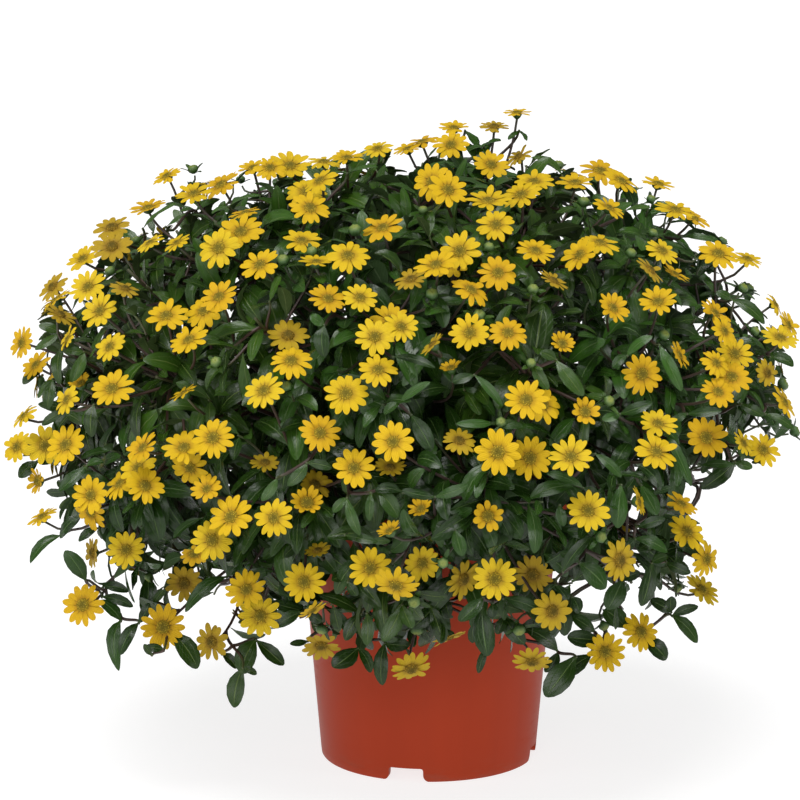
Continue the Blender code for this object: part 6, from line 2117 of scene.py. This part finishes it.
def main():
    sprays, shoots = lay_out()
    rng = random.Random(71)
    heads = []
    for s in sprays:
        s["heads"] = [u[:5] for u in s["used"]]
        s["heads"] += list(s["left"])
        heads += s["heads"]
    # buds from the chart, and as many again spread over the rest of the dome
    buds = []
    head_at = np.array([h[0] for h in heads])
    seen = np.array([chart_of(h[0])[0:2] for h in heads])[:, :, 0]
    for x, y in BUDS:
        if np.hypot(seen[:, 0] - x, seen[:, 1] - y).min() < 11:
            continue
        p, sight = from_chart(x, y, 0.965)
        buds.append((p, unit(outward(p) * 0.8 + UP * 0.35 - sight * 0.2)))
    charted_buds = len(buds)
    golden = math.pi * (3 - math.sqrt(5))
    order = list(range(260))
    rng.shuffle(order)
    for k in order:
        s = 1 - 2 * (k + 0.5) / 260
        if s < -0.55:
            continue
        p = dome_point(k * golden + 0.7, math.asin(s), rng.uniform(0.92, 0.97))
        x, y, z = chart_of(p)
        if np.dot(outward(p), unit(EYE_AT - p)) > 0.12 or not within(x, y, EDGE).all():
            continue
        if any(((x[0] - gx) / (gw + 5)) ** 2 + ((y[0] - gy) / (gh + 5)) ** 2 < 1 for gx, gy, gw, gh in OPENINGS):
            continue
        if np.linalg.norm(head_at - p, axis=1).min() < 0.013 or min(np.linalg.norm(p - b[0]) for b in buds) < 0.030:
            continue
        buds.append((p, unit(outward(p) + UP * 0.4)))
    field = Field(heads + [(p, f, 0.0042) for p, f in buds])

    stems = [{"kind": "blooming", "number": i + 1, **s} for i, s in enumerate(sprays)]
    stems += [{"kind": "leafy", "number": i + 1, "heads": [], **s} for i, s in enumerate(shoots)]
    paths = [(np.array(s["path"]), np.array(cut_lengths(s["path"]))) for s in stems]
    for i, s in enumerate(stems):
        s["grow"] = Growth(field, random.Random(1000 + i))
        s["stalks"] = []

    # the blooms' stalks
    for s in stems:
        if s["kind"] != "blooming":
            continue
        pts, lengths = np.array(s["path"]), np.array(cut_lengths(s["path"]))
        for p2, f2, rad, small, number, mid in s["used"]:
            neck = p2 - f2 * HEAD_DEPTH
            near = int(np.argmin(np.linalg.norm(pts - mid, axis=1)))
            near = min(max(near, 2), len(pts) - 2)
            s["stalks"].append((clear_stalk(field, pts, near, neck, f2), f2))
        for p2, f2, rad, small, number in s["left"]:
            neck = p2 - f2 * HEAD_DEPTH
            i = int(np.argmin(np.linalg.norm(pts - neck, axis=1) + np.where(lengths < lengths[-1] * 0.4, 1.0, 0.0)))
            s["stalks"].append((clear_stalk(field, pts, min(max(i, 2), len(pts) - 3), neck, f2), f2))

    # twigs that reach every part of the dome's surface
    count = 520
    targets = []
    for k in range(count):
        s = 1 - 2 * (k + 0.5) / count
        if s < -0.80:
            continue
        p = dome_point(k * golden + 1.9, math.asin(s), rng.uniform(0.83, 0.955))
        if math.hypot(p[0], p[1]) < 0.084 and p[2] < 0.150:
            continue
        x, y, z = chart_of(p)
        if not within(x, y, EDGE).all():
            continue
        targets.append(p)
    for p, f in buds:
        targets.append(p - f * 0.0035)
    fresh_from = len(targets) - len(buds)
    rest = list(range(fresh_from))
    rng.shuffle(rest)
    todo = list(range(fresh_from, len(targets))) + rest
    # the leaves that stand out, on twigs of their own
    limbs = [(pts, lengths, i) for i, (pts, lengths) in enumerate(paths)]
    for i, s in enumerate(stems):
        limbs += [(np.array(path[:-2]), np.array(cut_lengths(path[:-2])), i) for path, f in s["stalks"]]
    for x, y, depth, tips in NODES:
        # as far in as it takes for the leaves to show behind the blooms, not over them
        front, sight = from_chart(x, y, depth)
        for step in range(9):
            p = front + unit(sight) * 0.005 * step
            far = float(np.dot(p - EYE_AT, SIGHT))
            leaves = []
            for tx, ty, wide, *bow in tips:
                high = min(1.0, max(0.0, (300.0 - ty) / 100.0))
                across = np.array(((tx - x) * far / LENS, 0.0, 0.0)) - ABOVE * ((ty - y) * far / LENS)
                tip = p + across - SIGHT * rng.uniform(0.05, 0.28) * float(np.linalg.norm(across))
                n = unit(-SIGHT * (0.85 - 0.55 * high) + UP * (0.35 + 0.5 * high) + np.array([rng.uniform(-0.2, 0.2) for _ in range(3)]))
                leaves.append((p - unit(across) * 0.0003, tip, wide * 0.88 * far / LENS, n, bow[0] if bow else None))
            along = np.array([a[0] + (a[1] - a[0]) * t for a in leaves for t in (0.0, 0.3, 0.6, 0.85)])
            if not field.hides_bloom(along, 0.80) and not field.hits_head(along, 0.006):
                break
        pairs = [limb[:2] for limb in limbs]
        k, path = clear_twig(pairs, field, p, unit(outward(p) * 0.5 - SIGHT * 0.6))
        k = limbs[k][2]
        limbs.append((np.array(path[1:]), np.array(cut_lengths(path[1:])), k))
        grow = stems[k]["grow"]
        grow.tubes.append((path + [path[-1] + unit(path[-1] - path[-2]) * 0.0006], 0.00085, 0.00062, 0.15))
        for leaf in leaves:
            grow.placed(*leaf)
    for i in todo:
        p = targets[i]
        is_bud = i >= fresh_from
        end = buds[i - fresh_from][1] if is_bud else unit(outward(p) * 0.9 + UP * 0.15)
        made = twig_to(paths, field, p, end) or twig_to(paths, field, p, end, 0.25, 1.0, 0.008, 0.130)
        if made is None and is_bud and i - fresh_from < charted_buds:
            k, path = clear_twig([limb[:2] for limb in limbs], field, p, end)
            made = limbs[k][2], path
        if made is None:
            continue
        k, path = made
        grow = stems[k]["grow"]
        if is_bud:
            grow.buds.append(buds[i - fresh_from])
        total = cut_lengths(path)[-1]
        reached = total if is_bud else 0.0
        turn = rng.uniform(0, math.pi)
        s = total - (0.0012 if not is_bud else 0.007)
        step = 0
        while s > 0.006:
            at, along = at_length(path, s)
            size = (0.52, 0.86, 1.02, 1.05)[min(step, 3)] if not is_bud else (0.62, 0.95, 1.02)[min(step, 2)]
            if grow.pair(at, along, turn, size, tries=5, small=size < 0.6, spread=0.8 if step == 0 else 0.5):
                reached = max(reached, s)
            turn += math.pi / 2 + rng.uniform(-0.25, 0.25)
            s -= (0.0085, 0.0150, 0.0165)[min(step, 2)] * rng.uniform(0.9, 1.15)
            step += 1
        if reached > 0.0:
            part = [at_length(path, min(reached + 0.0008, total) * j / 8.0)[0] for j in range(9)]
            grow.tubes.append((part, 0.00082, 0.00050, 0.25))

    # leaf pairs along the blooms' stalks
    for s in stems:
        grow = s["grow"]
        for path, f in s["stalks"]:
            total = cut_lengths(path)[-1]
            at_s = total - rng.uniform(0.012, 0.025)
            turn = rng.uniform(0, math.pi)
            step = 0
            while at_s > 0.006 and step < 4:
                at, along = at_length(path, at_s)
                grow.pair(at, along, turn, (0.80, 1.0, 1.05, 1.05)[step], tries=5)
                turn += math.pi / 2 + rng.uniform(-0.25, 0.25)
                at_s -= rng.uniform(0.014, 0.020)
                step += 1
    # and along the stems themselves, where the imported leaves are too
    for i, s in enumerate(stems):
        grow = s["grow"]
        if s["kind"] == "leafy":
            for mid, way, lift, length, width, droop, t in s["used"]:
                grow.leaf(mid, way, lift, length, width, tries=3)
        pts, total = s["path"], paths[i][1][-1]
        at_s, turn = total * 0.97 - 0.002, rng.uniform(0, math.pi)
        step = 0
        while at_s > total * 0.26:
            at, along = at_length(pts, at_s)
            grow.pair(at, along, turn, 0.75 if step == 0 else 1.08, tries=5)
            turn += math.pi / 2 + rng.uniform(-0.2, 0.2)
            at_s -= rng.uniform(0.014, 0.019)
            step += 1

    # materials: a few close tints of each green
    tints = ((1.0, 1.0, 1.0), (0.86, 0.92, 1.05), (1.14, 1.06, 0.92), (0.94, 1.04, 1.10), (1.05, 0.96, 0.90))
    sets = []
    for k, tint in enumerate(tints):
        sets.append(
            [
                leaf_material(f"leaf_top_{k + 1}", tint),
                under_material(f"leaf_under_{k + 1}", tint),
                stem_material(f"stem_bark_{k + 1}", tint),
                bract_material(f"bud_green_{k + 1}", tint),
            ]
        )
    head_set = [petal_material("petal_top"), petal_material("petal_back", True), disc_material("disc_florets"), bract_material("involucre")]

    total_tris, fine_count, plain_count = 0, 0, 0
    for i, s in enumerate(stems):
        grow = s["grow"]
        bag = Bag()
        pts = np.array(s["path"])
        inside = np.where(within(*chart_of(pts)[:2], EDGE))[0]
        way = list(pts[: max(int(inside[-1]) + 1, len(pts) // 2)][::2])
        n = len(way)
        tube(bag, [way[0] - UP * 0.004] + way, [STEM_R * (0.98 - 0.48 * k / n) for k in range(n + 1)], 7, 10, 2, 0.0, 0.85)
        for path, r0, r1, v0 in grow.tubes:
            m = len(path)
            tube(bag, path, [r0 + (r1 - r0) * k / (m - 1) for k in range(m)], 5, 11, 2, v0, 1.0)
        for path, f in s["stalks"]:
            m = len(path)
            tube(bag, path, [0.00080 - 0.00018 * k / (m - 1) for k in range(m)], 6, 11, 2, 0.1, 0.80)
        for p, f in grow.buds:
            bud(bag, grow.fine, grow.rng, p, f, grow.rng.uniform(0.0046, 0.0062))
        place_sheets(bag, LEAF_FINE, grow.fine, LEAF_WIDE, 0.00030, 0, 1)
        place_sheets(bag, LEAF_PLAIN, grow.plain, LEAF_WIDE, 0.00030, 0, 1)
        fine_count += len(grow.fine)
        plain_count += len(grow.plain)
        node = f"flower_spray_{s['number']:02d}" if s["kind"] == "blooming" else f"leafy_shoot_{s['number']:02d}"
        ob = bag.make(f"{s['kind']}_stem_{s['number']:02d}", sets[i % len(sets)])
        total_tris += bag.triangles()
        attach(ob, "root")
        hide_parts(node)
        if s["heads"]:
            bag, petals = Bag(), []
            for p, f, rad, small, number in s["heads"]:
                # the blooms of OCHRE, and a few others at random, get the darker tones; on those in the shade of others
                # they are painted shade
                old_or_shaded = grow.rng.random() < 0.14 if number is None else number in OCHRE
                bloom(bag, petals, grow.rng, p, f, rad * (0.935 if not small else 1.0), small, old_or_shaded and not small)
            place_sheets(bag, PETAL, petals, PETAL_WIDE, 0.00016, 0, 1, notch=0.11)
            ob = bag.make(f"blooms_{s['number']:02d}", head_set, sharp=75)
            total_tris += bag.triangles()
            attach(ob, "root")
            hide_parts(node)
    print("leaves", fine_count, plain_count, "heads", len(heads), "buds", len(buds), "triangles", total_tris)

    pot = make_pot()
    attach(pot, "root")
    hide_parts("pot")
    soil = make_soil()
    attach(soil, "root")
    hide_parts("potting_soil")


# ---------------------------------------------------------------- floor, light and camera
def stage():
    mesh = bpy.data.meshes.new("floor")
    s = 30.0
    mesh.from_pydata([(-s, -s, 0), (s, -s, 0), (s, s, 0), (-s, s, 0)], [], [(0, 1, 2, 3)])
    mesh.materials.append(floor_material())
    floor = bpy.data.objects.new("floor", mesh)
    bpy.context.scene.collection.objects.link(floor)

    world = bpy.data.worlds.new("studio")
    bpy.context.scene.world = world
    world.use_nodes = True
    back = world.node_tree.nodes["Background"]
    back.inputs[0].default_value = (1.0, 1.0, 1.0, 1.0)
    back.inputs[1].default_value = 0.25

    def aim(ob, at):
        d = Vector(at) - ob.location
        ob.rotation_euler = d.to_track_quat("-Z", "Y").to_euler()

    def lamp(name, kind, at, to, power, size=0.0):
        light = bpy.data.lights.new(name, kind)
        light.energy = power
        if kind == "AREA":
            light.shape = "SQUARE"
            light.size = size
        else:
            light.angle = math.radians(size)
        ob = bpy.data.objects.new(name, light)
        ob.location = at
        aim(ob, to)
        bpy.context.scene.collection.objects.link(ob)

    lamp("high_light", "SUN", (-0.32, -1.05, 3.0), (0, 0, 0), 3.0, 36.0)
    lamp("front_softbox", "AREA", (-0.3, -2.0, 0.80), (0, 0, 0.15), 14.5, 1.1)
    lamp("right_softbox", "AREA", (1.7, -0.7, 0.55), (0, 0, 0.12), 7.0, 0.6)
    lamp("left_softbox", "AREA", (-1.7, -0.6, 0.55), (0, 0, 0.12), 6.0, 0.6)

    cam = bpy.data.cameras.new("camera")
    cam.sensor_fit = "HORIZONTAL"
    cam.sensor_width = 36.0
    cam.lens = LENS / 800.0 * 36.0
    cam.clip_end = 100.0
    ob = bpy.data.objects.new("camera", cam)
    ob.location = (EYE[0] + POT_AXIS[0], EYE[1] + POT_AXIS[1], EYE[2])
    ob.rotation_euler = (math.pi / 2 - TIP, 0.0, 0.0)
    bpy.context.scene.collection.objects.link(ob)
    bpy.context.scene.camera = ob
    bpy.context.scene.view_settings.view_transform = "Standard"
    bpy.context.scene.view_settings.look = "None"


main()
stage()
bpy.context.view_layer.update()
